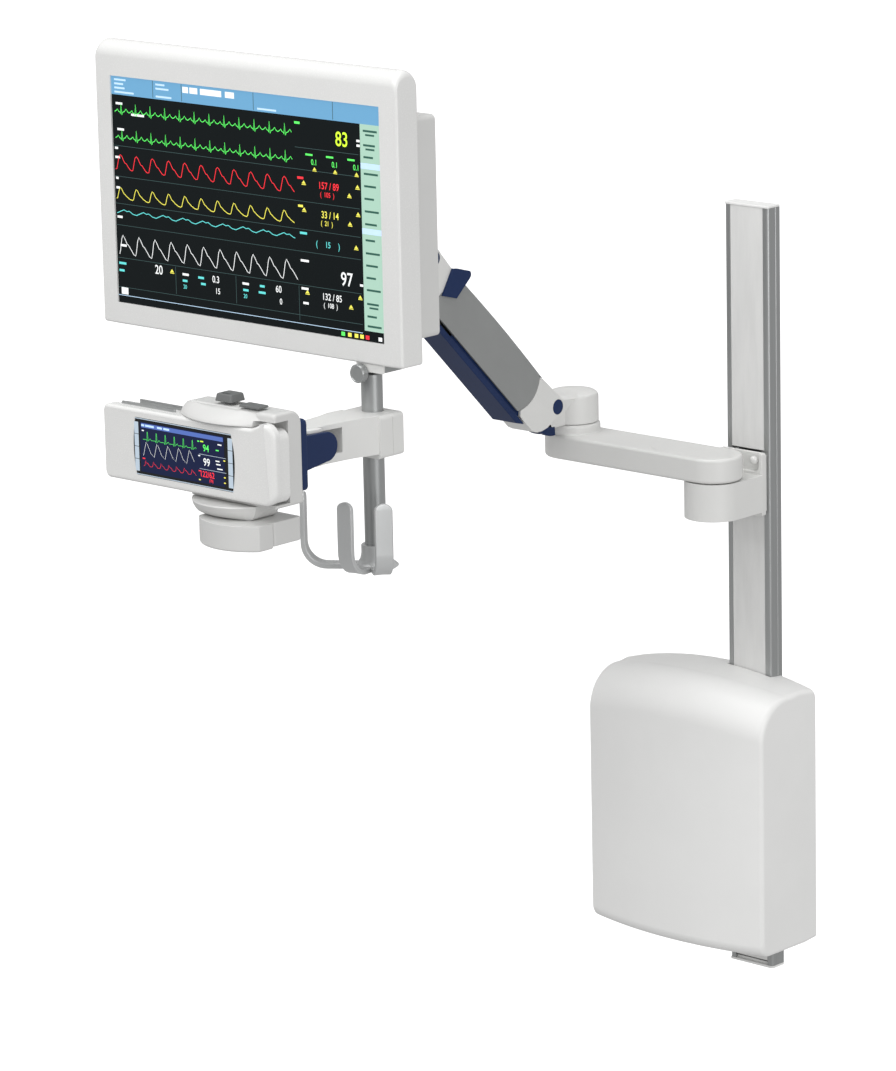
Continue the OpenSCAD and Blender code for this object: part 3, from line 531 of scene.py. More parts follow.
def shrink(ring, amount):
    """A ring moved inwards, for the rounded ends of the cover."""
    ys = [p[1] for p in ring]
    zs = [p[2] for p in ring]
    mz = (min(zs) + max(zs)) / 2
    sz = 1 - amount / (max(zs) - min(zs)) * 2
    return [(x, max(ys) - (max(ys) - y) * (1 - amount / (max(ys) - min(ys))), mz + (z - mz) * sz)
        for x, y, z in ring]


rings = []
end_r = 5.0
for side in (-1, 1):
    group = []
    for i in range(7):
        a = math.radians(90 * i / 6)
        x = cx + side * (width / 2 - end_r + end_r * math.sin(a))
        group.append(shrink(box_ring(x), end_r * (1 - math.cos(a))))
    rings.append(group)
inner = [box_ring(cx + (width / 2 - end_r) * t / 14) for t in range(-13, 14)]
cover = loft(list(reversed(rings[0])) + inner + rings[1])
slot_cut = block((-half_w - 0.6, -24.4, box_low.z - 5), (half_w + 0.6, 5, box_high.z + 5))
cover = cut(cover, slot_cut)
piece("supply_box", cover, "wall_unit", BOX_WHITE, ["box_cover"], angle=40)

# ---------------------------------------------------------------- extension arm

arm_low, arm_high = box("extension_arm")
hub_r = (arm_high.y - arm_low.y) / 2
elbow = joint_at("elbow_swivel")
stadium = arc(0, swivel.y, hub_r, -90, 90, 28) + arc(elbow.x, elbow.y, hub_r, 90, 270, 28)
arm = prism(stadium, arm_low.z, arm_high.z, "plan")
piece("extension", arm, "extension", WHITE, ["extension_arm"], bevel=4.0, segments=5)
cover_plan = arc(2, swivel.y, 25, -90, 90, 20) + arc(-66, swivel.y, 25, 90, 270, 20)
hatch = prism(cover_plan, arm_high.z - 0.5, arm_high.z + 0.35, "plan")
piece("extension_hatch", hatch, "extension", WHITE, bevel=0.3, segments=2)

col_low, col_high = box("elbow_collar")
collar = lathe([(9, col_low.z), (35.5, col_low.z), (35.0, col_low.z + 0.7), (34.2, col_low.z + 1.6),
    (34, col_low.z + 3), (34, col_high.z - 4)] + arc(30, col_high.z - 4, 4, 0, 90,
    6)[1:] + [(9, col_high.z)], (elbow.x, elbow.y, 0), steps=72)
piece("collar", collar, "extension", WHITE, ["elbow_collar"])

# ---------------------------------------------------------------- elbow knuckle

rear = joint_at("arm_lift")
knuckle_height = 37
hub_z0 = elbow.z - 11.2
hub_z1 = hub_z0 + knuckle_height
tongue = 12.0              # half width of each knuckle's nose
drum = lathe([(0.01, hub_z0), (31, hub_z0), (32, hub_z0 + 1), (32, hub_z1 - 5), (30.6, hub_z1 - 1.4),
    (27, hub_z1 + 1), (18, hub_z1 + 3), (0.01, hub_z1 + 4)], (elbow.x, elbow.y, 0), steps=72)
fairing = []
for z, wide, y in ((hub_z0, tongue, elbow.y - 20), (hub_z0 + 6, tongue + 1, elbow.y - 20),
        (hub_z1 - 3, 31.5, elbow.y - 6), (hub_z1 + 1, 27, elbow.y)):
    half_plan = [(wide, y), (tongue, rear.y + 6), (tongue, rear.y)]
    whole_plan = half_plan + [(-half, v) for half, v in reversed(half_plan)]
    fairing.append([Vector((elbow.x + u, v, z)) for u, v in whole_plan])
tongue_body = block((elbow.x - tongue, rear.y, hub_z0), (elbow.x + tongue, elbow.y, hub_z1))
ear = rod(11, -tongue, tongue, (elbow.x, rear.y, rear.z), "x", 48)
chin = rod(9, -tongue, tongue, (elbow.x, rear.y - 8, rear.z - 26), "x", 48)
web = prism([(rear.y - 16, rear.z - 28), (rear.y + 2, rear.z - 28), (rear.y + 11, rear.z),
    (rear.y - 11, rear.z)], elbow.x - tongue, elbow.x + tongue, "side")
knuckle = unite(drum, loft(fairing), tongue_body, ear, chin, web)
nose = block((elbow.x - 60, rear.y - 30, rear.z + 2), (elbow.x + 60, rear.y - 0.5, hub_z1 + 9))
slot_tool = block((elbow.x - 4.6, rear.y - 30, rear.z - 42), (elbow.x + 4.6, rear.y + 12, rear.z - 10))
knuckle = cut(knuckle, nose, slot_tool)
piece("knuckle", knuckle, "elbow", WHITE, ["elbow_knuckle"], bevel=1.2)

guard = []
for side in (-1, 1):
    curve = arc(rear.y, rear.z, 37.5, 217, 275, 20) + arc(rear.y, rear.z, 26, 275, 225, 12)
    near, far = sorted((elbow.x + side * 4.8, elbow.x + side * 12.2))
    guard.append(prism(curve, near, far, "side"))
piece("knuckle_guard", join(*guard), "elbow", BLUE, bevel=0.8)

# ---------------------------------------------------------------- spring arm

in_arm = arm_matrix(rear)
ARM_W = 20.0               # half width of the arm's covers
LENGTH = 310.0             # between its pivots


def shell(outline, half, wall, open_outline):
    """A cover on a side view: both cheeks and the bridge, hollow inside open_outline."""
    solid = prism(outline, -half, half, "side")
    return cut(solid, prism(open_outline, -half + wall, half - wall, "side"))


rear_edge = arc(-88, -17.5, 42, -38, 38, 14)            # the gray cover's bowed rear end
crown = [(-49 - 213 * i / 12, 9 + 2.2 * math.sin(math.pi * i / 12)) for i in range(13)]
gray = [(-288, -47.5), (-58, -47.5)] + [p for p in rear_edge if -47 < p[1] < 8.5] + crown + [(-272,
    -29)]
cover = shell(gray, ARM_W, 3.0, [(-330, -60), (-20, -60), (-20, 5.8), (-330, 5.8)])
piece("arm_cover", cover, "spring_arm", COVER_GRAY, ["arm_upper_cover"], bevel=1.6,
    segments=4, matrix=in_arm)

rear_cap = arc(0, 0, 12.5, -45, 112, 18) + [(-48.4, 9)]
rear_cap += [(u + 0.4, v) for u, v in reversed(rear_edge) if -43 < v < 8.2]
rear_cap += [(-54.4, -44), (-50, -49.6), (-44, -50.3), (-20, -50.3), (-12, -47.5), (-4, -40)]
rear_cap += [(2, -30), (5, -18), (8.6, -10)]
rear_shell = shell(rear_cap, ARM_W, 3.7, [(-90, -90), (-34, -90), (-34, -47.6), (-20, -47.6),
    (-9.5, -42.2), (-6, -90), (40, -90), (40, 40), (-34, 40), (-34, 5.5), (-90, 5.5)])
seats = rod(9.6, -40, 40, (0, 0, 0), "x", 48)
rear_shell = cut(rear_shell, seats)
piece("arm_rear_cap", rear_shell, "spring_arm", WHITE, ["rear_arm_cap"], bevel=1.1,
    matrix=in_arm)

front_cap = arc(-LENGTH, 0, 12.5, 68, 240, 18) + [(-292, -42), (-288.6, -47), (-272.4, -28.9),
    (-262.4, 9)]
front_shell = shell(front_cap, ARM_W, 3.7, [(-272, 5.5), (-272, 40), (-360, 40), (-360, -90),
    (-200, -90), (-200, 5.5)])
seats = rod(9.6, -40, 40, (0, -LENGTH, 0), "x", 48)
front_shell = cut(front_shell, seats)
piece("arm_front_cap", front_shell, "spring_arm", WHITE, ["front_arm_cap"], bevel=1.1,
    matrix=in_arm)

discs = []
for y in (0, -LENGTH):
    for side in (-1, 1):
        rim = [(0.01, 16.4), (9.4, 16.4), (9.4, 19.5), (8.9, 20.0), (0.01, 20.25)]
        discs.append(lathe([(radius, side * t) for radius, t in rim], (0, y, 0), "x", 48))
piece("pivot_discs", join(*discs), "spring_arm", BLUE, ["pivot_caps"], matrix=in_arm)

blade = [(-270, -26), (-248, -13.5), (-245.8, 18)] + arc(-251.4, 19.6, 5.6, 10, 95, 8)
blade += [(-271, 14.5), (-278, 9)]
strap = [(-252, 9.3), (-252, 11.9), (-274, 11.9), (-276.5, 9.3)]
clip = unite(prism(blade, ARM_W + 0.1, ARM_W + 3.2, "side"), prism(strap, -ARM_W - 2.4, ARM_W + 1,
    "side"), prism([(-270, -20), (-250, -12), (-251, 11.9), (-275, 11.9)], -ARM_W - 2.4, -ARM_W - 0.1,
    "side"))
piece("cable_saddle", clip, "spring_arm", BLUE, ["cable_clip"], bevel=0.9, segments=4,
    matrix=in_arm)

# ---------------------------------------------------------------- lower link

low_pivot = joint_at("link_turn")
in_link = arm_matrix(low_pivot)
tray = [(-259.7, -36), (-62.7, -36), (-50.7, -29), (-54, -28.3), (-259.7, -28.3)]
tray_solid = prism(tray, -ARM_W, ARM_W, "side")
lip_walls = prism([(-229.7, -32), (-62.7, -32), (-62.7, -19.2), (-229.7, -19.2)], -15.8, 15.8, "side")
hollow = prism([(-300, -33), (-74, -33), (-74, -10), (-300, -10)], -13, 13, "side")
tray_solid = cut(unite(tray_solid, lip_walls), hollow)
bosses = [rod(8, -4, 4, (0, y, 0), "x", 40) for y in (0, -LENGTH)]
bar = prism([(-LENGTH, -4), (0, -4), (0, 4), (-LENGTH, 4)], -4, 4, "side")
stay = prism([(-189.7, -34), (-68.7, -34), (-68.7, -3), (-189.7, -3)], -4, 4, "side")
link = unite(tray_solid, bar, stay, *bosses)
holes = [rod(4.1, -9, 9, (0, y, 0), "x", 32) for y in (0, -LENGTH)]
link = cut(link, *holes)
piece("parallel_tray", link, "parallel_link", BLUE, ["lower_link"], bevel=1.0,
    matrix=in_link)

# ---------------------------------------------------------------- front knuckle and head

front_pivot = joint_at("head_level")
head = joint_at("head_swivel")
base_z = front_pivot.z - 25
hub = lathe([(0.01, base_z), (27, base_z), (29, base_z + 0.8), (30, base_z + 3), (30, base_z + 43),
    (29, base_z + 45.2), (27, base_z + 46), (0.01, base_z + 46)], (head.x, head.y, 0))
tongue_side = [(head.y + 10, front_pivot.z - 20), (front_pivot.y - 16, front_pivot.z - 26)]
tongue_side += arc(front_pivot.y - 8, front_pivot.z - 26, 8, 200, 350, 10)
tongue_side += arc(front_pivot.y, front_pivot.z, 11, -20, 90, 10) + [(head.y + 10, front_pivot.z + 11)]
arm_tongue = prism(tongue_side, head.x - tongue, head.x + tongue, "side")
slot_tool = block((head.x - 4.6, head.y + 29, front_pivot.z - 38),
    (head.x + 4.6, head.y + 82, front_pivot.z - 10.5))
front_hub = cut(unite(hub, arm_tongue), slot_tool)
piece("head_knuckle_shell", front_hub, "head_knuckle", WHITE, ["front_knuckle"],
    bevel=1.2)

tilt = joint_at("display_tilt")
column_z0 = front_pivot.z + 21.6
beam_z0, beam_z1 = tilt.z - 46, tilt.z - 8
column = lathe([(0.01, column_z0), (26, column_z0), (28, column_z0 + 2), (28, beam_z1 - 3),
    (25, beam_z1), (0.01, beam_z1)], (head.x, head.y, 0))
beam = prism(round_rect(head.x - 20, beam_z0, head.x + 20, beam_z1, 8), tilt.y + 26, head.y, "front")
yoke = block((head.x - 29, tilt.y + 26, beam_z0), (head.x + 29, tilt.y + 40, beam_z1))
cheeks = []
for side in (-1, 1):
    outline = arc(tilt.y, tilt.z, 16, 0, 180, 16) + [(tilt.y - 16, tilt.z - 28),
        (tilt.y - 4, tilt.z - 46), (tilt.y + 40, tilt.z - 46), (tilt.y + 40, tilt.z - 10)]
    cheeks.append(prism(outline, head.x + side * 24 - 5, head.x + side * 24 + 5, "side"))
head_shape = unite(column, beam, yoke, *cheeks)
piece("head_yoke", head_shape, "head", WHITE, ["head_arm"], bevel=1.6)

# ---------------------------------------------------------------- display

shell_low, shell_high = box("display_front_shell")
glass_low, glass_high = box("display_glass")
disp_x = (shell_low.x + shell_high.x) / 2
screen_half = 216.5
hidden_rim = 7             # glass behind the frame, above and below
screen_z0, screen_z1 = glass_low.z + hidden_rim, glass_high.z - hidden_rim
front_y, shell_back = shell_low.y, shell_high.y
depth = shell_back - front_y
top_r = depth / 2
side_r = 3.0
slant = 1.3


def display_ring(y, top_inset, side_inset):
    """Front-view outline of the display at one depth, with points where the screen's edges cross it."""
    x0, x1 = shell_low.x + side_inset, shell_high.x - side_inset
    z0, z1 = shell_low.z + side_inset, shell_high.z - top_inset
    corner = 9.0
    points = arc(x0 + 3, z0 + 3, 3, 180, 270, 5) + [(disp_x - screen_half, z0),
        (disp_x + screen_half, z0)]
    points += arc(x1 - 3, z0 + 3, 3, 270, 360, 5)
    points += arc(x1 - corner, z1 - corner, corner, 0, 90, 9)
    points += [(disp_x + screen_half, z1), (disp_x - screen_half, z1)]
    points += arc(x0 + corner, z1 - corner, corner, 90, 180, 9)
    ring = []
    for x, z in points:
        back = slant * max(0.0, abs(x - disp_x) - screen_half) / 26.5
        ring.append(Vector((x, min(y + back, shell_back), z)) if y < front_y + top_r
            else Vector((x, y, z)))
    return ring


steps = 30
rings = []
for i in range(steps + 1):
    a = math.pi * i / steps
    y = front_y + top_r * (1 - math.cos(a))
    reach = min(y - front_y, shell_back - y)
    edge_in = side_r - math.sqrt(max(0.0, side_r ** 2 - (side_r - min(reach, side_r)) ** 2))
    rings.append(display_ring(y, top_r * (1 - math.sin(a)), edge_in))
shape = bmesh.new()
made = [[shape.verts.new(p) for p in ring] for ring in rings]
count = len(rings[0])
for a, b in zip(made, made[1:]):
    for i in range(count):
        j = (i + 1) % count
        shape.faces.new((a[i], b[i], b[j], a[j]))
shape.faces.new(made[-1])
first = made[0]
low_at, top_at = 6, 24      # where the screen's sides cross the outline, below and above
low_l, low_r = first[low_at:low_at + 2]
top_rt, top_lt = first[top_at:top_at + 2]
corners = [shape.verts.new((disp_x + s * screen_half, front_y, z))
    for s, z in ((-1, screen_z0), (1, screen_z0), (1, screen_z1), (-1, screen_z1))]
deep = [shape.verts.new((v.co.x, front_y + 2.1, v.co.z)) for v in corners]
shape.faces.new([low_l, low_r, corners[1], corners[0]])
shape.faces.new([corners[3], corners[2], top_rt, top_lt])
shape.faces.new(first[top_at + 2:] + first[:low_at + 1] + [corners[0], corners[3], top_lt])
shape.faces.new(first[low_at + 1:top_at + 1] + [corners[2], corners[1]])
for i in range(4):
    j = (i + 1) % 4
    shape.faces.new((corners[i], corners[j], deep[j], deep[i]))
bmesh.ops.recalc_face_normals(shape, faces=shape.faces)
piece("display_shell", shape, "display", GLOSS_WHITE, ["display_front_shell"], angle=24)

back_low, back_high = box("display_rear_shell")
rear_solid = prism(face_of(back_low, back_high, "front", 6), back_low.y, back_high.y, "front")
vents = [block((disp_x + i * 22 - 6, back_high.y - 1.6, tilt.z + side * 100 - 4 + k * 7),
    (disp_x + i * 22 + 6, back_high.y + 2, tilt.z + side * 100 - 1.5 + k * 7)) for side in (-1, 1)
    for i in range(-6, 7) for k in (-1, 0, 1)]
rear_solid = cut(rear_solid, join(*vents))
piece("display_back", rear_solid, "display", PALE_GRAY, ["display_rear_shell"],
    bevel=2.2, segments=4)

panel = prism([(glass_low.x, glass_low.z), (glass_high.x, glass_low.z), (glass_high.x, glass_high.z),
    (glass_low.x, glass_high.z)], glass_low.y, glass_high.y, "front")
piece("display_front_glass", panel, "display", SCREEN_BLACK, ["display_glass"],
    bevel=0.4)

# ---------------------------------------------------------------- post, bracket and hook

tube_low, tube_high = box("post_tube")
post = (tube_low + tube_high) / 2
tube_r = (tube_high.x - tube_low.x) / 2
tube = lathe([(tube_r - 2, tube_low.z), (tube_r, tube_low.z), (tube_r, tube_high.z),
    (tube_r - 2, tube_high.z), (tube_r - 2, tube_low.z + 12), (0.01, tube_low.z + 12),
    (0.01, tube_low.z)], (post.x, post.y, 0))
piece("post", tube, "display", POST_GRAY, ["post_tube"])

br_low, br_high = box("post_bracket")
knob = joint_at("knob_turn")
boss_z = br_low.z + 15.5
boss = lathe([(0.01, post.y - 11.7), (14.2, post.y - 11.7), (15.5, post.y - 10.4), (15.5, post.y + 25),
    (0.01, post.y + 25)], (post.x, 0, boss_z), "y", 56)
cheek = prism([(post.x - 15.4, boss_z), (post.x + 15.4, boss_z), (br_high.x, shell_low.z - 9),
    (br_high.x, br_high.z), (br_low.x + 6, br_high.z), (br_low.x + 6, shell_low.z - 9)], post.y - 11.5,
    post.y + 25, "front")
strap = prism([(br_low.x + 6, shell_low.z - 8.8), (br_high.x, shell_low.z - 8.8),
    (br_high.x, shell_low.z - 0.2), (br_low.x + 6, shell_low.z - 0.2)], front_y + 6, post.y + 20,
    "front")
bore = rod(3, post.y - 40, post.y - 6, (post.x, 0, knob.z), "y", 32)
ceiling = block((post.x - 60, post.y - 60, shell_low.z - 0.2), (post.x + 60, post.y + 60,
    shell_low.z + 20))
bracket = cut(unite(boss, cheek, strap), bore, ceiling)
piece("bracket", bracket, "display", POST_GRAY, ["post_bracket"], bevel=1.2)

tab_low, tab_high = box("bracket_cover")
tab = prism(face_of(tab_low, tab_high, "front", (3, 3, 0.6, 0.6)), tab_low.y, tab_high.y, "front")
tab = cut(tab, rod(3.4, post.y - 40, post.y + 9, (post.x, 0, knob.z), "y", 32))
piece("bracket_tab", tab, "display", WHITE, ["bracket_cover"], bevel=0.7)

kb_low, kb_high = box("post_lock_knob")
knob_y = kb_low.y
turned = lathe([(0.01, knob_y + 0.7), (8.2, knob_y + 0.6), (9.0, knob_y), (10.0, knob_y + 0.2),
    (11, knob_y + 1.5), (11, knob_y + 8.4), (10, knob_y + 9.8), (2.8, knob_y + 9.8), (2.8, kb_high.y),
    (0.01, kb_high.y)], (post.x, 0, knob.z), "y", 56)
dents = [prism(arc(post.x + 11.9 * math.cos(t * math.pi / 5), knob.z + 11.9 * math.sin(t * math.pi / 5),
    1.7, 0, 350, 10), knob_y - 1, knob_y + 9, "front") for t in range(10)]
grip = cut(turned, join(*dents))
piece("lock_knob_grip", grip, "lock_knob", POST_GRAY, ["post_lock_knob"], bevel=0.35,
    segments=2)

hook_z = box("cable_hook")[0].z


def prong(angle, reach, tip):
    """A broad strip that leaves the hub level, turns up and ends in a round tip; slightly dished."""
    path = [(-12 - (reach - 42) * i / 4, 3) for i in range(5)]
    path += [(-reach + 30 + 27 * math.cos(a), 30 + 27 * math.sin(a))
        for a in (math.radians(270 - 90 * i / 10) for i in range(1, 11))]
    path += [(-reach + 3, 30 + (tip - 30) * i / 6) for i in range(1, 7)]
    turn = Matrix.Translation((post.x, post.y, hook_z)) @ Matrix.Rotation(math.radians(angle), 4, "Z")
    rings = []
    total = len(path)
    half = 10.5
    section = [(-half + 1.2, -3), (0, -2.6), (half - 1.2, -3), (half, -1.6), (half, 1.4),
        (half - 1.4, 2.9), (0, 1.5), (-half + 1.4, 2.9), (-half, 1.4), (-half, -1.6)]
    for i, (y, z) in enumerate(path):
        ahead = path[min(i + 1, total - 1)]
        behind = path[max(i - 1, 0)]
        dy, dz = ahead[0] - behind[0], ahead[1] - behind[1]
        size = math.hypot(dy, dz)
        ny, nz = -dz / size, dy / size
        if ny < 0 and i > 4 or (i <= 4 and nz < 0):
            ny, nz = -ny, -nz
        rings.append([turn @ Vector((x, y + ny * n, z + nz * n)) for x, n in section])
    last = path[-1]
    for a in (25, 50, 72, 88):
        narrow = math.cos(math.radians(a))
        rise = 8 * math.sin(math.radians(a)) - 8
        rings.append([turn @ Vector((x * narrow, last[0] + n * (0.55 + 0.45 * narrow), last[1] + rise))
            for x, n in section])
    rings[total - 1] = [p - Vector((0, 0, 8)) for p in rings[total - 1]]
    return loft(rings)


hub_profile = [(0.01, hook_z + 0.3), (23, hook_z + 0.3), (26, hook_z + 2.4), (26, hook_z + 3.6),
    (23.5, hook_z + 5.7), (20.5, hook_z + 8), (18.2, hook_z + 12), (17, hook_z + 18), (17, hook_z + 27),
    (16.2, hook_z + 28), (0.01, hook_z + 28)]
hub = lathe(hub_profile, (post.x, post.y, 0))
bore = rod(tube_r, tube_low.z, tube_low.z + 20, (post.x, post.y, 0))
hook = cut(unite(hub, prong(52, 66, 89), prong(9, 63, 89), prong(-54, 86, 89)), bore)
piece("three_way_hook", hook, "display", HOOK_GRAY, ["cable_hook"], bevel=1.1, angle=50)

# ---------------------------------------------------------------- clamp and dock arm

arm_low, arm_high = box("dock_arm")
cap_low, cap_high = box("clamp_cap")
dock_pivot = joint_at("dock_swivel")
px, py, pz = dock_pivot.x, dock_pivot.y, joint_at("dock_tilt").z
clamp_z0, clamp_z1 = cap_low.z, cap_high.z
clamp_x0, clamp_x1 = cap_low.x, cap_high.x
mid = (clamp_z0 + clamp_z1) / 2
split = 0.3                # half the gap between the clamp's halves


def clamp_bore():
    """The post's bore through the clamp, with a hair of play."""
    return rod(tube_r + 0.06, clamp_z0 - 3, clamp_z1 + 5, (post.x, post.y, 0))


block_front = prism(round_rect(clamp_x0, clamp_z0, clamp_x1, clamp_z1, 5), post.y - 21, post.y - split,
    "front")
horn = [(px - 19, py), (px + 19, py), (px + 20, py + 14), (px + 22.5, py + 34), (px + 24, py + 48),
    (px + 28, py + 66), (post.x + 29, post.y - 20), (post.x - 30, post.y - 20), (px - 27, py + 66),
    (px - 23, py + 50), (px - 21, py + 34), (px - 20, py + 14)]
horn_body = prism(horn, clamp_z0 + 6, clamp_z1 + 0.5, "plan")
dome = lathe([(0.01, clamp_z0 + 6), (21, clamp_z0 + 6), (22, clamp_z0 + 7.5), (22, clamp_z1 - 4),
    (21.2, clamp_z1 - 1.6), (19, clamp_z1 + 0.2), (0.01, clamp_z1 + 0.5)], (px, py, 0))
gap = block((px - 60, py - 40, pz - 14.5), (px + 60, py + 38, pz + 14.5))
arm = cut(unite(block_front, horn_body, dome), gap, clamp_bore())
piece("dock_link_arm", arm, "post_clamp", WHITE, ["dock_arm"], bevel=2.0, segments=4)

block_rear = prism(round_rect(clamp_x0, clamp_z0, clamp_x1, clamp_z1, 5), post.y + split, cap_high.y,
    "front")
screw_holes = [rod(5, cap_high.y - 5.3, cap_high.y + 4, (post.x + side * 24, 0, mid), "y", 40)
    for side in (-1, 1)]
rear_half = cut(block_rear, clamp_bore(), *screw_holes)
piece("clamp_rear_half", rear_half, "post_clamp", WHITE, ["clamp_cap"], bevel=1.2)

# ---------------------------------------------------------------- dock plate and knuckle

plate_lo = box("dock_bracket")[0]
dock_low, dock_high = box("dock_housing")
back_plate = prism(round_rect(post.x - 45, pz - 40, post.x + 45, pz + 42, 6), plate_lo.y,
    plate_lo.y + 9.9, "front")
lugs = []
for side in (-1, 1):
    outline = arc(py, pz, 17, -92, 92, 24) + [(plate_lo.y + 16, pz + 18.5), (plate_lo.y + 9.5, pz + 25),
        (plate_lo.y + 9.5, pz - 26), (plate_lo.y + 20, pz - 22)]
    x = px + side * 32
    faces = sorted((x - side * 3, x + side * 4.2))
    lug = prism(outline, *faces, "side")
    blind = sorted((x - side * 12, x + side * 3.3))
    bore = rod(6.1, blind[0], blind[1], (0, py, pz), "x", 40)
    lugs.append(cut(lug, bore))
piece("dock_plate", join(back_plate, *lugs), "dock", BLUE_PAINT, ["dock_bracket"],
    bevel=1.3)

# ---------------------------------------------------------------- dock housing

back = plate_lo.y - 0.1
dock_x0, dock_x1 = dock_low.x, dock_high.x
dock_top = dock_high.z
dock_mid = (dock_x0 + dock_x1) / 2
mon_low, mon_high = box("monitor_front_shell")
rear_low, rear_high = box("monitor_rear_shell")
base_low, base_high = box("dock_base")
mscreen = middle("monitor_glass")
cradle_x = dock_mid - 15
mon_top = rear_high.z + 1
dock_front = back - 44


def crescent(centre, w, d, depth_behind, front_line):
    """Plan outline of a D-shaped lip that stands out from a front line."""
    radius = (w * w / 4 + d * d) / (2 * d)
    half = math.degrees(math.asin(w / 2 / radius))
    bow_points = arc(centre, front_line - d + radius, radius, 270 - half, 270 + half, 36)
    return bow_points + [(centre + w / 2, front_line + depth_behind),
        (centre - w / 2, front_line + depth_behind)]


dock_side = [(back, dock_low.z + 18)] + arc(back - 17, dock_top - 17, 17, 0, 90, 12)
dock_side += arc(dock_front + 5, dock_top - 5, 5, 90, 180, 6) + [(dock_front, dock_low.z + 18)]
housing = soft_prism(dock_side, dock_x0, dock_x1, "side", 4, 4)
visor_rings = []
for z, reach in ((mon_top + 0.6, 21), (mon_top + 1.4, 22), (mon_top + 3, 21.6), (mon_top + 6, 19),
        (mon_top + 9, 15), (mon_top + 12, 10), (dock_top - 2.4, 5), (dock_top - 1.0, 2)):
    outline = crescent(cradle_x, 104 + 1.1 * reach, reach, 24, dock_front)
    visor_rings.append(level(outline, z))
visor = loft(visor_rings)
lip_rings = []
for z, reach in ((dock_low.z, 8), (dock_low.z + 1.5, 13), (dock_low.z + 5, 19), (dock_low.z + 10, 23.5),
        (mon_low.z - 7.5, 26), (mon_low.z - 6, 25)):
    outline = crescent(cradle_x, 74 + reach, reach, 38, dock_front)
    lip_rings.append(level(outline, z))
lower_lip = loft(lip_rings)
cradle = block((dock_x0 - 5, dock_front - 40, mon_low.z - 0.6),
    (dock_x1 + 5, rear_high.y + 1.5, mon_top + 0.6))
notch = block((cradle_x + 54.5, dock_front - 40, mon_low.z - 0.6),
    (dock_x1 + 5, rear_high.y + 1.5, mon_high.z + 0.4))
slots = []
for i in range(-4, 5):
    x = dock_mid + 4 + i * 6.5
    slots.append(prism(round_rect(x, back - 24, x + 3, back - 9, 1.4, 5), dock_top - 7, dock_top + 4,
        "plan"))
housing = cut(unite(housing, visor, lower_lip), cradle, notch, *slots)
piece("dock_body", housing, "dock", PALE_GRAY, ["dock_housing"], bevel=0.9,
    angle=36)
# painted shade: a dark grey sheet at the floors of the blind vent slots stands in for the shade inside
# them
slot_shade_sheet = prism([(dock_mid - 25, back - 25), (dock_mid + 36, back - 25), (dock_mid + 36, back - 7),
    (dock_mid - 25, back - 7)], dock_top - 9, dock_top - 6.9, "plan")
for key in ("release_button", "power_button"):
    spot = middle(key)
    slot_shade_sheet = cut(slot_shade_sheet, rod(8, dock_top - 12, dock_top, (spot.x, spot.y, 0), steps=40))
piece("dock_vent_grille", slot_shade_sheet, "dock", DARK_GRAY, bevel=0.3)

foot = soft_prism(crescent((base_low.x + base_high.x) / 2, base_high.x - base_low.x, 20, 22,
    base_low.y + 20), base_low.z, base_high.z, "plan", 2.5, 0.6)
piece("dock_foot", foot, "dock", PALE_GRAY, ["dock_base"], bevel=1.2)
con_low, con_high = box("connector_box")
plug_box = soft_prism(face_of(con_low, con_high, "plan", 4), con_low.z, con_high.z, "plan", 2, 1)
piece("dock_connector_box", plug_box, "dock", PALE_GRAY, ["connector_box"],
    bevel=0.4)

rel_low, rel_high = box("release_button")
rx, ry = (rel_low.x + rel_high.x) / 2, (rel_low.y + rel_high.y) / 2
key_z = dock_top + 3.3
rings = []
for z, grow in ((key_z, -0.6), (key_z + 0.6, 0), (key_z + 7.6, -1.2), (key_z + 8.6, -1.8),
        (key_z + 9.0, -3.0)):
    outline = round_rect(rel_low.x - grow, rel_low.y - grow, rel_high.x + grow, rel_high.y + grow, 2.5)
    rings.append(level(outline, z))
stem = rod(5.9, rel_low.z, key_z + 1, (rx, ry, 0), steps=40)
grip_bar = soft_prism(round_rect(rel_low.x + 6.5, ry - 7, rel_high.x - 6.5, ry - 4.6, 1.1), key_z + 8.5,
    key_z + 9, "plan", 0.1, 0.2)
piece("release_key_cap", join(loft(rings), stem, grip_bar), "release_key", KEY_GRAY,
    ["release_button"], bevel=0.4)

pow_low, pow_high = box("power_button")
qx, qy = (pow_low.x + pow_high.x) / 2, (pow_low.y + pow_high.y) / 2
flat_z = dock_top + 2.3
pad = soft_prism(face_of(pow_low, pow_high, "plan", 2), flat_z, pow_high.z, "plan", 0.3, 0.8)
stem = rod(5.9, pow_low.z, flat_z + 0.8, (qx, qy, 0), steps=40)
piece("power_key_cap", join(pad, stem), "power_key", KEY_GRAY, ["power_button"])

# ---------------------------------------------------------------- small monitor

step_x = cradle_x + 56
x0, x1 = mon_low.x, mon_high.x
swoop = [(step_x + 20 * t / 10, mon_top + (mon_high.z - mon_top) * (3 * (t / 10) ** 2
    - 2 * (t / 10) ** 3)) for t in range(11)]
outline = arc(x0 + 9, mon_low.z + 9, 9, 180, 270, 8) + arc(x1 - 15, mon_low.z + 15, 15, 270, 360, 10)
outline += arc(x1 - 16, mon_high.z - 16, 16, 0, 90, 10) + list(reversed(swoop))
outline += arc(x0 + 9, mon_top - 9, 9, 90, 180, 8)
front_shell = soft_prism(outline, mon_low.y, mon_high.y, "front", 4.0, 0.6)
for vertex in front_shell.verts:
    over = max(0.0, vertex.co.x - (x1 - 26)) / 26
    if vertex.co.y < mon_low.y + 9:
        vertex.co.y += 7.5 * over ** 2
    under = max(0.0, (x0 + 14) - vertex.co.x) / 14
    if vertex.co.y < mon_low.y + 6:
        vertex.co.y += 2.2 * under ** 2
half_u, half_v = (box("monitor_glass")[1].x - box("monitor_glass")[0].x) / 2 - 4, 31


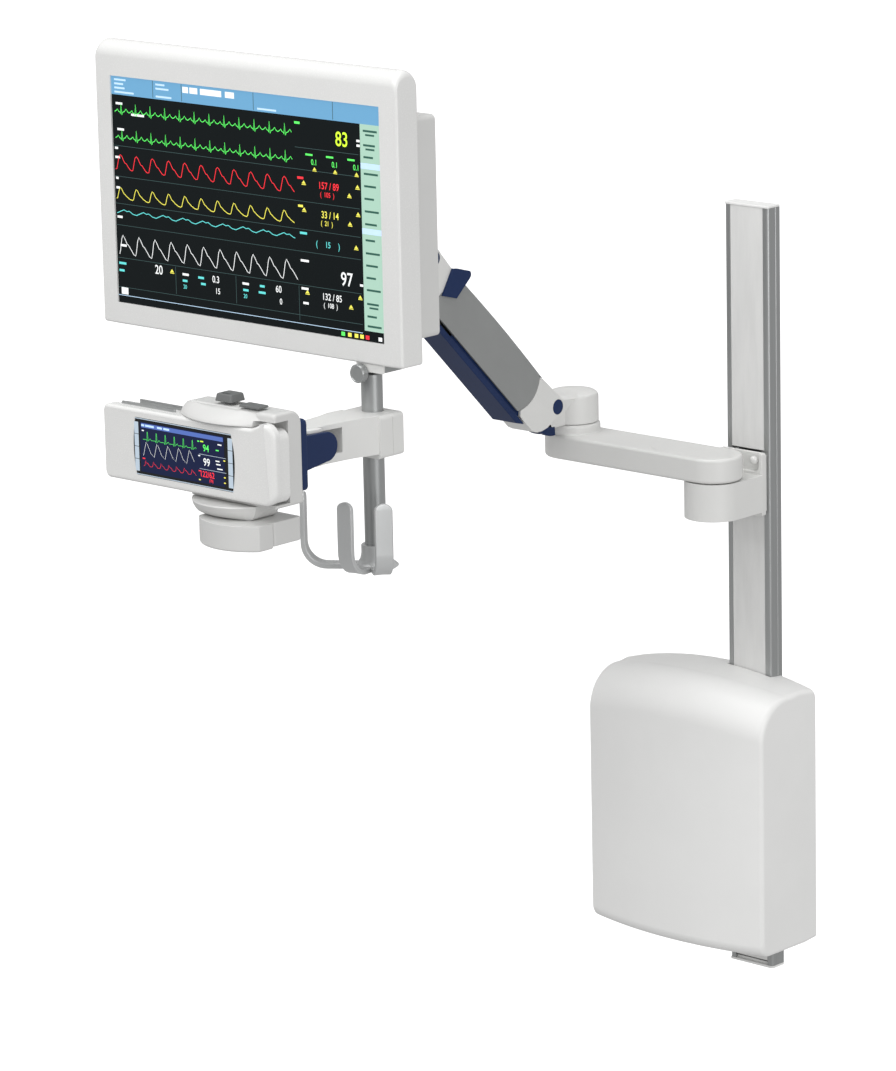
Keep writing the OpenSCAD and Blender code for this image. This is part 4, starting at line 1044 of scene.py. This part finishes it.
def bowed(grow, bulge=4.0, steps=12):
    """The small screen's outline: straight above and below, bowed outwards at its sides."""
    u, v = half_u + grow, half_v + grow
    right = [(mscreen.x + u + bulge * (1 - (t / steps * 2 - 1) ** 2) - bulge,
        mscreen.z - v + 2 * v * t / steps) for t in range(steps + 1)]
    left = [(2 * mscreen.x - x, z) for x, z in reversed(right)]
    return right + left


window = prism(bowed(2.6), mon_low.y - 4, mon_low.y + 1.7, "front")
front_shell = cut(front_shell, window)
piece("monitor_shell", front_shell, "small_monitor", GLOSS_WHITE,
    ["monitor_front_shell"], angle=30)

ribs = []
for i in range(14):
    z = mon_low.z + 14 + i * (mon_top - mon_low.z - 28) / 13
    ribs.append(soft_prism(round_rect(x0 + 0.1, z - 0.8, x0 + 5.5, z + 0.8, 0.7, 3), mon_low.y + 5.2,
        mon_high.y - 2, "front", 0.4, 0.4, 2))
piece("monitor_grip_ribs", join(*ribs), "small_monitor", GLOSS_WHITE)

back_outline = face_of(rear_low, rear_high, "front", 12)
rear_shell = soft_prism(back_outline, rear_low.y, rear_high.y, "front", 0.4, 4)
contact = prism(round_rect((x0 + x1) / 2 + 40, mscreen.z - 28, (x0 + x1) / 2 + 80, mscreen.z - 12, 2),
    rear_high.y - 1.5, rear_high.y + 2, "front")
piece("monitor_back", cut(rear_shell, contact), "small_monitor", GLOSS_WHITE,
    ["monitor_rear_shell"], angle=30)

glass_y = mon_low.y + 1.45
piece("monitor_window", prism(bowed(2.3), glass_y, glass_y + 1.6, "front"), "small_monitor", BLACK,
    ["monitor_glass"], bevel=0.2)

rails = []
rail_low, rail_high = box("monitor_rails")
for u0, u1, y0, z1 in ((rail_low.x, rail_low.x + 86, rail_low.y, rail_low.z + 4),
        (rail_high.x - 76, rail_high.x, rail_high.y - 2.5, rail_high.z)):
    rails.append(soft_prism(round_rect(u0, y0, u1, y0 + 2.5, 1.1), mon_top - 0.9, z1, "plan", 0.1, 0.8,
        4))
piece("monitor_top_rails", join(*rails), "small_monitor", POST_GRAY, ["monitor_rails"])

# ---------------------------------------------------------------- what the screens show

SOFT_KEY = screen_light("soft_key_green", (0.42, 0.64, 0.52))
HEADER = screen_light("header_blue", (0.16, 0.39, 0.62))
GREEN = screen_light("trace_green", (0.10, 0.75, 0.12), 1.4)
LIME = screen_light("number_lime", (0.55, 0.85, 0.04), 1.4)
RED = screen_light("trace_red", (0.85, 0.035, 0.05), 1.3)
YELLOW = screen_light("trace_yellow", (0.75, 0.70, 0.10), 1.3)
CYAN = screen_light("trace_cyan", (0.12, 0.62, 0.60), 1.2)
LIT_WHITE = screen_light("trace_white", (0.78, 0.80, 0.80), 1.2)
DIM = screen_light("divider_dim", (0.06, 0.11, 0.11), 0.8)
KEY_TEXT = screen_light("key_marks", (0.05, 0.16, 0.12), 0.6)
PALE = screen_light("header_marks", (0.55, 0.75, 0.95), 1.0)
SMALL_FIELD = screen_light("small_field", (0.012, 0.018, 0.060), 0.8)
SMALL_KEY = screen_light("small_key_pale", (0.52, 0.62, 0.72), 0.8)
SMALL_BLUE = screen_light("small_header", (0.10, 0.17, 0.50), 0.9)


class Screen:
    """Flat patches laid on a screen: u runs left to right and v top to bottom, both from 0 to 1."""

    def __init__(self, x0, x1, z0, z1, y, body, prefix):
        self.x0, self.x1, self.z0, self.z1, self.y = x0, x1, z0, z1, y
        self.body, self.prefix = body, prefix
        self.layers = {}

    def at(self, u, v, lift):
        return Vector((self.x0 + (self.x1 - self.x0) * u, self.y - lift,
            self.z1 - (self.z1 - self.z0) * v))

    def layer(self, material):
        return self.layers.setdefault(material.name, (material, bmesh.new()))[1]

    def patch(self, u0, v0, u1, v1, material, lift=0.1):
        shape = self.layer(material)
        corners = [self.at(u, v, lift) for u, v in ((u0, v1), (u1, v1), (u1, v0), (u0, v0))]
        shape.faces.new([shape.verts.new(p) for p in corners])

    def trace(self, points, width, material, lift=0.22):
        """A line of even width through (u, v) points."""
        shape = self.layer(material)
        line = [self.at(u, v, lift) for u, v in points]
        edge = []
        for i, here in enumerate(line):
            ahead = line[min(i + 1, len(line) - 1)] - line[max(i - 1, 0)]
            normal = Vector((-ahead.z, 0, ahead.x)).normalized() * width / 2
            edge.append((shape.verts.new(here + normal), shape.verts.new(here - normal)))
        for a, b in zip(edge, edge[1:]):
            shape.faces.new((a[1], b[1], b[0], a[0]))

    def number(self, words, u, v, height, material, lift=0.25):
        """Plain digits, their left end at u, v their middle, height in millimetres."""
        curve = bpy.data.curves.new("digits", "FONT")
        curve.body = words
        curve.size = height * 1.38
        curve.align_y = "CENTER"
        curve.offset = 0.012 * height
        temporary = bpy.data.objects.new("digits", curve)
        bpy.context.scene.collection.objects.link(temporary)
        bpy.context.view_layer.update()
        mesh = bpy.data.meshes.new_from_object(temporary)
        shape = bmesh.new()
        shape.from_mesh(mesh)
        place = Matrix.Translation(self.at(u, v, lift)) @ Matrix.Rotation(math.radians(90), 4, "X")
        place = place @ Matrix.Diagonal((0.86, 1, 1, 1))
        shape.transform(place)
        holder = bpy.data.meshes.new("digits")
        shape.to_mesh(holder)
        shape.free()
        self.layer(material).from_mesh(holder)
        bpy.data.objects.remove(temporary)
        bpy.data.meshes.remove(mesh)
        bpy.data.meshes.remove(holder)

    def mark(self, u, v, size, lift=0.2):
        """A small yellow bell-like mark: a triangle on a short bar."""
        shape = self.layer(YELLOW)
        corners = ((u - size * 0.5, v), (u + size * 0.5, v), (u, v - size))
        shape.faces.new([shape.verts.new(self.at(*spot, lift)) for spot in corners])
        self.patch(u - size * 0.55, v + size * 0.15, u + size * 0.55, v + size * 0.4, YELLOW, lift)

    def build(self):
        for name, (material, shape) in sorted(self.layers.items()):
            piece(self.prefix + name, shape, self.body, material)


def beats(u0, u1, count, v_base, shape_points):
    """A repeated wave: shape_points are (place in one beat, height above the base)."""
    points = []
    for i in range(count):
        for t, h in shape_points:
            points.append((u0 + (u1 - u0) * (i + t) / count, v_base - h))
    return points


HEART = [(0, 0), (0.1, 0.004), (0.2, 0.012), (0.28, 0.002), (0.36, 0), (0.4, -0.008), (0.45, 0.04),
    (0.5, -0.012), (0.56, 0), (0.68, 0.004), (0.8, 0.016), (0.9, 0.004)]
PRESSURE = [(0, 0), (0.08, 0.002), (0.16, 0.03), (0.24, 0.058), (0.32, 0.065), (0.42, 0.058),
    (0.52, 0.04), (0.6, 0.03), (0.68, 0.028), (0.78, 0.016), (0.9, 0.004)]
LUNG = [(0, 0), (0.06, 0.004), (0.16, 0.035), (0.24, 0.05), (0.32, 0.046), (0.45, 0.026), (0.55, 0.02),
    (0.65, 0.012), (0.85, 0.002)]
RIPPLE = [(0, 0), (0.2, 0.01), (0.35, 0.017), (0.5, 0.011), (0.62, 0.014), (0.8, 0.003), (0.9, 0.001)]
PULSE = [(0, 0), (0.06, 0.02), (0.16, 0.07), (0.24, 0.085), (0.34, 0.072), (0.48, 0.048), (0.56, 0.044),
    (0.7, 0.028), (0.88, 0.005)]

main = Screen(disp_x - screen_half, disp_x + screen_half, screen_z0, screen_z1, glass_low.y, "display",
    "main_")
main.patch(0, 0, 1, 0.082, HEADER)
for u in (0.16, 0.27, 0.54, 0.83):
    main.patch(u, 0.004, u + 0.002, 0.078, DIM, 0.15)
for u, v, w in ((0.012, 0.012, 0.045), (0.012, 0.03, 0.035), (0.012, 0.048, 0.04),
        (0.012, 0.066, 0.075), (0.172, 0.014, 0.035), (0.172, 0.032, 0.05), (0.172, 0.066, 0.06),
        (0.555, 0.066, 0.07)):
    main.patch(u, v, u + w, v + 0.008, PALE, 0.15)
for u, w in ((0.275, 0.022), (0.302, 0.03), (0.342, 0.08), (0.436, 0.034)):
    main.patch(u, 0.014, u + w, 0.04, LIT_WHITE, 0.15)
main.patch(0.927, 0.082, 1, 0.955, SOFT_KEY)
for i, v in enumerate((0.105, 0.165, 0.215, 0.285, 0.337, 0.39, 0.443, 0.497, 0.565, 0.62, 0.672, 0.724,
        0.776, 0.835, 0.888, 0.93)):
    main.patch(0.938, v, 0.988 - 0.008 * (i % 3), v + 0.009, KEY_TEXT, 0.15)
    if i in (0, 1, 13):
        main.patch(0.946, v + 0.017, 0.978, v + 0.025, KEY_TEXT, 0.15)
for v in (0.245, 0.52):
    main.patch(0.927, v, 1, v + 0.024, PALE, 0.14)

LINE = 0.95
for u0, u1, count, v, wave, tone in ((0.01, 0.685, 12, 0.157, HEART, GREEN),
        (0.01, 0.685, 12, 0.272, HEART, GREEN), (0.006, 0.69, 11, 0.41, PRESSURE, RED),
        (0.006, 0.69, 11, 0.54, LUNG, YELLOW), (0.006, 0.69, 9, 0.604, RIPPLE, CYAN),
        (0.01, 0.695, 11, 0.785, PULSE, LIT_WHITE)):
    main.trace(beats(u0, u1, count, v, wave), LINE, tone)

for v in (0.212, 0.305, 0.44, 0.56, 0.655, 0.8):
    main.patch(0.0 if v > 0.3 else 0.69, v, 0.92, v + 0.002, DIM, 0.12)
for u, v0, v1 in ((0.225, 0.805, 0.925), (0.455, 0.805, 0.925), (0.69, 0.805, 0.955)):
    main.patch(u, v0, u + 0.0015, v1, DIM, 0.12)
main.patch(0, 0.93, 0.92, 0.932, DIM, 0.12)
main.patch(0, 0.966, 0.92, 0.9685, PALE, 0.12)

main.number("83", 0.838, 0.16, 17, LIME)
for u in (0.748, 0.823, 0.9):
    main.number("0.1", u, 0.27, 6.6, GREEN)
    main.patch(u - 0.02, 0.235, u + 0.006, 0.243, GREEN, 0.15)
    main.mark(u + 0.012, 0.302, 0.013)
for words, u, v, size, tone in (("157 / 89", 0.772, 0.365, 8.2, RED),
        ("(  105  )", 0.778, 0.402, 5.8, RED), ("33 / 14", 0.78, 0.488, 8.2, YELLOW),
        ("(  21  )", 0.778, 0.524, 5.8, YELLOW), ("(     15     )", 0.758, 0.615, 7.2, CYAN),
        ("97", 0.845, 0.752, 16, LIT_WHITE), ("132 / 85", 0.775, 0.838, 8.0, LIT_WHITE),
        ("(  108  )", 0.78, 0.874, 5.8, LIT_WHITE), ("20", 0.146, 0.832, 11, LIT_WHITE),
        ("0.3", 0.366, 0.836, 8.2, LIT_WHITE), ("15", 0.376, 0.886, 7.0, LIT_WHITE),
        ("60", 0.604, 0.836, 8.2, LIT_WHITE), ("0", 0.618, 0.888, 7.0, LIT_WHITE)):
    main.number(words, u, v, size, tone)
for u, v in ((0.719, 0.365), (0.914, 0.355), (0.884, 0.395), (0.718, 0.48), (0.914, 0.47),
        (0.884, 0.515), (0.904, 0.612), (0.212, 0.832), (0.722, 0.833), (0.914, 0.822), (0.88, 0.868)):
    main.mark(u, v, 0.014)
for u, v, w, tone in ((0.69, 0.104, 0.02, GREEN), (0.696, 0.337, 0.022, RED),
        (0.696, 0.457, 0.018, YELLOW), (0.7, 0.572, 0.026, CYAN), (0.7, 0.69, 0.03, LIT_WHITE),
        (0.7, 0.81, 0.026, LIT_WHITE), (0.705, 0.872, 0.02, LIT_WHITE),
        (0.015, 0.115, 0.026, LIT_WHITE), (0.018, 0.228, 0.026, LIT_WHITE),
        (0.074, 0.158, 0.05, LIT_WHITE), (0.006, 0.312, 0.012, LIT_WHITE),
        (0.006, 0.352, 0.018, LIT_WHITE), (0.006, 0.444, 0.01, LIT_WHITE),
        (0.006, 0.486, 0.014, LIT_WHITE), (0.006, 0.615, 0.02, LIT_WHITE),
        (0.014, 0.74, 0.024, LIT_WHITE), (0.006, 0.82, 0.028, CYAN), (0.006, 0.852, 0.02, CYAN),
        (0.252, 0.828, 0.024, LIT_WHITE), (0.252, 0.856, 0.018, CYAN), (0.312, 0.832, 0.022, CYAN),
        (0.322, 0.858, 0.018, CYAN), (0.48, 0.828, 0.024, LIT_WHITE), (0.482, 0.856, 0.02, CYAN),
        (0.545, 0.828, 0.018, CYAN), (0.54, 0.856, 0.026, CYAN), (0.914, 0.17, 0.012, LIT_WHITE),
        (0.914, 0.15, 0.012, LIT_WHITE), (0.914, 0.76, 0.012, LIT_WHITE)):
    main.patch(u, v, u + w, v + 0.01, tone, 0.15)
main.number("20", 0.254, 0.888, 5.0, CYAN)
main.number("20", 0.483, 0.888, 5.0, CYAN)
main.patch(0.012, 0.932, 0.038, 0.962, LIT_WHITE, 0.15)
for u, tone in ((0.842, GREEN), (0.866, YELLOW), (0.89, YELLOW), (0.91, YELLOW), (0.93, RED),
        (0.976, LIT_WHITE)):
    main.patch(u, 0.975, u + 0.013, 0.992, tone, 0.15)
main.build()

u_low, u_high = mscreen.x - half_u, mscreen.x + half_u
small = Screen(u_low, u_high, mscreen.z - half_v, mscreen.z + half_v, glass_y, "small_monitor",
    "small_")
small.patch(0.055, 0.035, 0.915, 0.965, SMALL_FIELD)
small.patch(0.07, 0.055, 0.905, 0.135, SMALL_BLUE, 0.15)
for i in range(4):
    v = 0.045 + i * 0.232
    small.patch(-0.003, v, 0.04, v + 0.222, SMALL_KEY, 0.15)
    small.patch(0.952, v, 0.998, v + 0.222, SMALL_KEY, 0.15)
for v in (-0.03, 1.012):
    small.patch(0.0, v, 1.0, v + 0.016, SMALL_KEY, 0.15)
for u, w in ((0.072, 0.03), (0.112, 0.09), (0.235, 0.05), (0.3, 0.06)):
    small.patch(u, 0.075, u + w, 0.112, PALE, 0.2)
SMALL_HEART = [(0, 0), (0.25, 0.005), (0.4, 0.0), (0.44, -0.03), (0.48, 0.15), (0.53, 0.15),
    (0.57, -0.02), (0.66, 0), (0.82, 0.03), (0.94, 0.0)]
SMALL_WAVE = [(0, 0), (0.28, 0.26), (0.4, 0.22), (0.7, 0.06)]
SMALL_PULSE = [(0, 0), (0.16, 0.02), (0.26, 0.1), (0.4, 0.06), (0.55, 0.05), (0.8, 0.0)]
small.trace(beats(0.085, 0.64, 6, 0.355, SMALL_HEART), 0.42, GREEN)
small.trace(beats(0.085, 0.64, 5, 0.66, SMALL_WAVE), 0.42, LIT_WHITE)
small.trace(beats(0.085, 0.64, 7, 0.85, SMALL_PULSE), 0.42, RED)
for v in (0.43, 0.7):
    small.patch(0.66, v, 0.93, v + 0.008, SMALL_KEY, 0.14)
for words, u, v, size, tone in (("94", 0.7, 0.315, 8.2, GREEN), ("99", 0.7, 0.575, 9.0, LIT_WHITE),
        ("122/62", 0.662, 0.8, 7.0, RED), ("(78)", 0.755, 0.9, 3.4, RED)):
    small.number(words, u, v, size, tone)
for u, v, w, tone in ((0.645, 0.19, 0.02, GREEN), (0.675, 0.185, 0.03, LIME),
        (0.85, 0.19, 0.04, LIT_WHITE), (0.83, 0.3, 0.03, GREEN), (0.825, 0.5, 0.04, LIT_WHITE),
        (0.83, 0.56, 0.045, LIT_WHITE), (0.84, 0.64, 0.055, LIT_WHITE), (0.65, 0.455, 0.02, LIT_WHITE),
        (0.65, 0.735, 0.022, RED), (0.905, 0.47, 0.018, YELLOW), (0.905, 0.78, 0.018, YELLOW),
        (0.905, 0.88, 0.018, YELLOW), (0.075, 0.18, 0.022, LIT_WHITE), (0.075, 0.7, 0.026, RED),
        (0.65, 0.9, 0.018, YELLOW)):
    small.patch(u, v, u + w, v + 0.022, tone, 0.2)
small.build()

# ---------------------------------------------------------------- CAD nodes that stay as they are

CARRIED = {"carriage_clamp_bars": STEEL, "extension_pin": STEEL, "box_back_plate": ALUMINIUM,
    "power_supply": ALUMINIUM, "box_screws": STEEL, "extension_bush": BRASS, "elbow_pin": STEEL,
    "rear_arm_pins": STEEL, "arm_beam": STEEL, "gas_spring": STEEL, "front_arm_pins": STEEL,
    "head_pin": STEEL, "tilt_pin": STEEL, "vesa_bracket": BLACK, "lcd_panel": ALUMINIUM,
    "display_board": BOARD, "display_screws": STEEL, "clamp_screws": STEEL, "dock_swivel_pin": STEEL,
    "dock_knuckle": DARK_GRAY, "monitor_display": ALUMINIUM, "monitor_battery": BLACK}
for node, material in CARRIED.items():
    dress(node, material)

# ---------------------------------------------------------------- floor, light and camera

PAPER = surface("backdrop_paper", (0.92, 0.92, 0.92), 0.9, grain=300, bump=0.0, mottle=0.003)
paper_shader = nodes_of(PAPER)[1]
paper_shader.inputs["Emission Color"].default_value = (1, 1, 1, 1)
paper_shader.inputs["Emission Strength"].default_value = 0.8


def studio_sweep(radius, floor_z, top_z, corner=1.5):
    """Floor and surrounding wall of the studio in one turned sheet, as (radius, height) steps."""
    profile = [(0.02, floor_z), (radius - corner, floor_z)]
    profile += [(radius - corner + corner * math.sin(a), floor_z + corner * (1 - math.cos(a)))
        for a in (math.radians(10 * i) for i in range(1, 10))]
    profile += [(radius, top_z)]
    shape = bmesh.new()
    rings = []
    for r, z in profile:
        rings.append([shape.verts.new((r * math.cos(math.radians(5 * i)),
            r * math.sin(math.radians(5 * i)), z)) for i in range(72)])
    for a, b in zip(rings, rings[1:]):
        for i in range(72):
            j = (i + 1) % 72
            shape.faces.new((a[i], a[j], b[j], b[i]))
    return shape


sweep = studio_sweep(11.0, -2.2, 9.0)
mesh = bpy.data.meshes.new("studio_floor")
sweep.to_mesh(mesh)
sweep.free()
for face in mesh.polygons:
    face.use_smooth = True
mesh.materials.append(PAPER)
floor = bpy.data.objects.new("studio_floor", mesh)
floor.visible_diffuse = False
floor.visible_glossy = False
bpy.context.scene.collection.objects.link(floor)

world = bpy.data.worlds.new("studio")
bpy.context.scene.world = world
world.use_nodes = True
world.node_tree.nodes["Background"].inputs["Color"].default_value = (1.0, 1.0, 1.0, 1)
world.node_tree.nodes["Background"].inputs["Strength"].default_value = 0.5


def area_light(name, place, aim, size, power):
    """A soft square light at place, in metres, turned towards aim."""
    data = bpy.data.lights.new(name, "AREA")
    data.size = size
    data.energy = power
    light = bpy.data.objects.new(name, data)
    light.location = place
    light.rotation_euler = (Vector(aim) - Vector(place)).to_track_quat("-Z", "Y").to_euler()
    bpy.context.scene.collection.objects.link(light)


centre = (Vector(cad_low) + Vector(cad_high)) / 2
area_light("key", (-0.4, -3.6, 2.6), centre, 2.4, 56)
area_light("fill", (3.6, -1.6, 0.8), centre, 2.5, 50)
area_light("top", (-0.4, -1.0, 3.6), centre, 2.6, 60)

lens = bpy.data.cameras.new("camera")
lens.lens = 168.18
lens.sensor_width = 36.0
lens.clip_start = 0.1
lens.clip_end = 60.0
camera = bpy.data.objects.new("camera", lens)
bearing, height_angle, roll = math.radians(42.666), math.radians(13.502), math.radians(-1.25)
turn = Matrix.Rotation(bearing, 4, "Z") @ Matrix.Rotation(math.pi / 2 - height_angle, 4, "X")
camera.matrix_world = Matrix.Translation((3.8027, -4.6969, 1.5225)) @ turn @ Matrix.Rotation(roll, 4,
    "Z")
bpy.context.scene.collection.objects.link(camera)
bpy.context.scene.camera = camera

bpy.context.scene.view_settings.view_transform = "Standard"
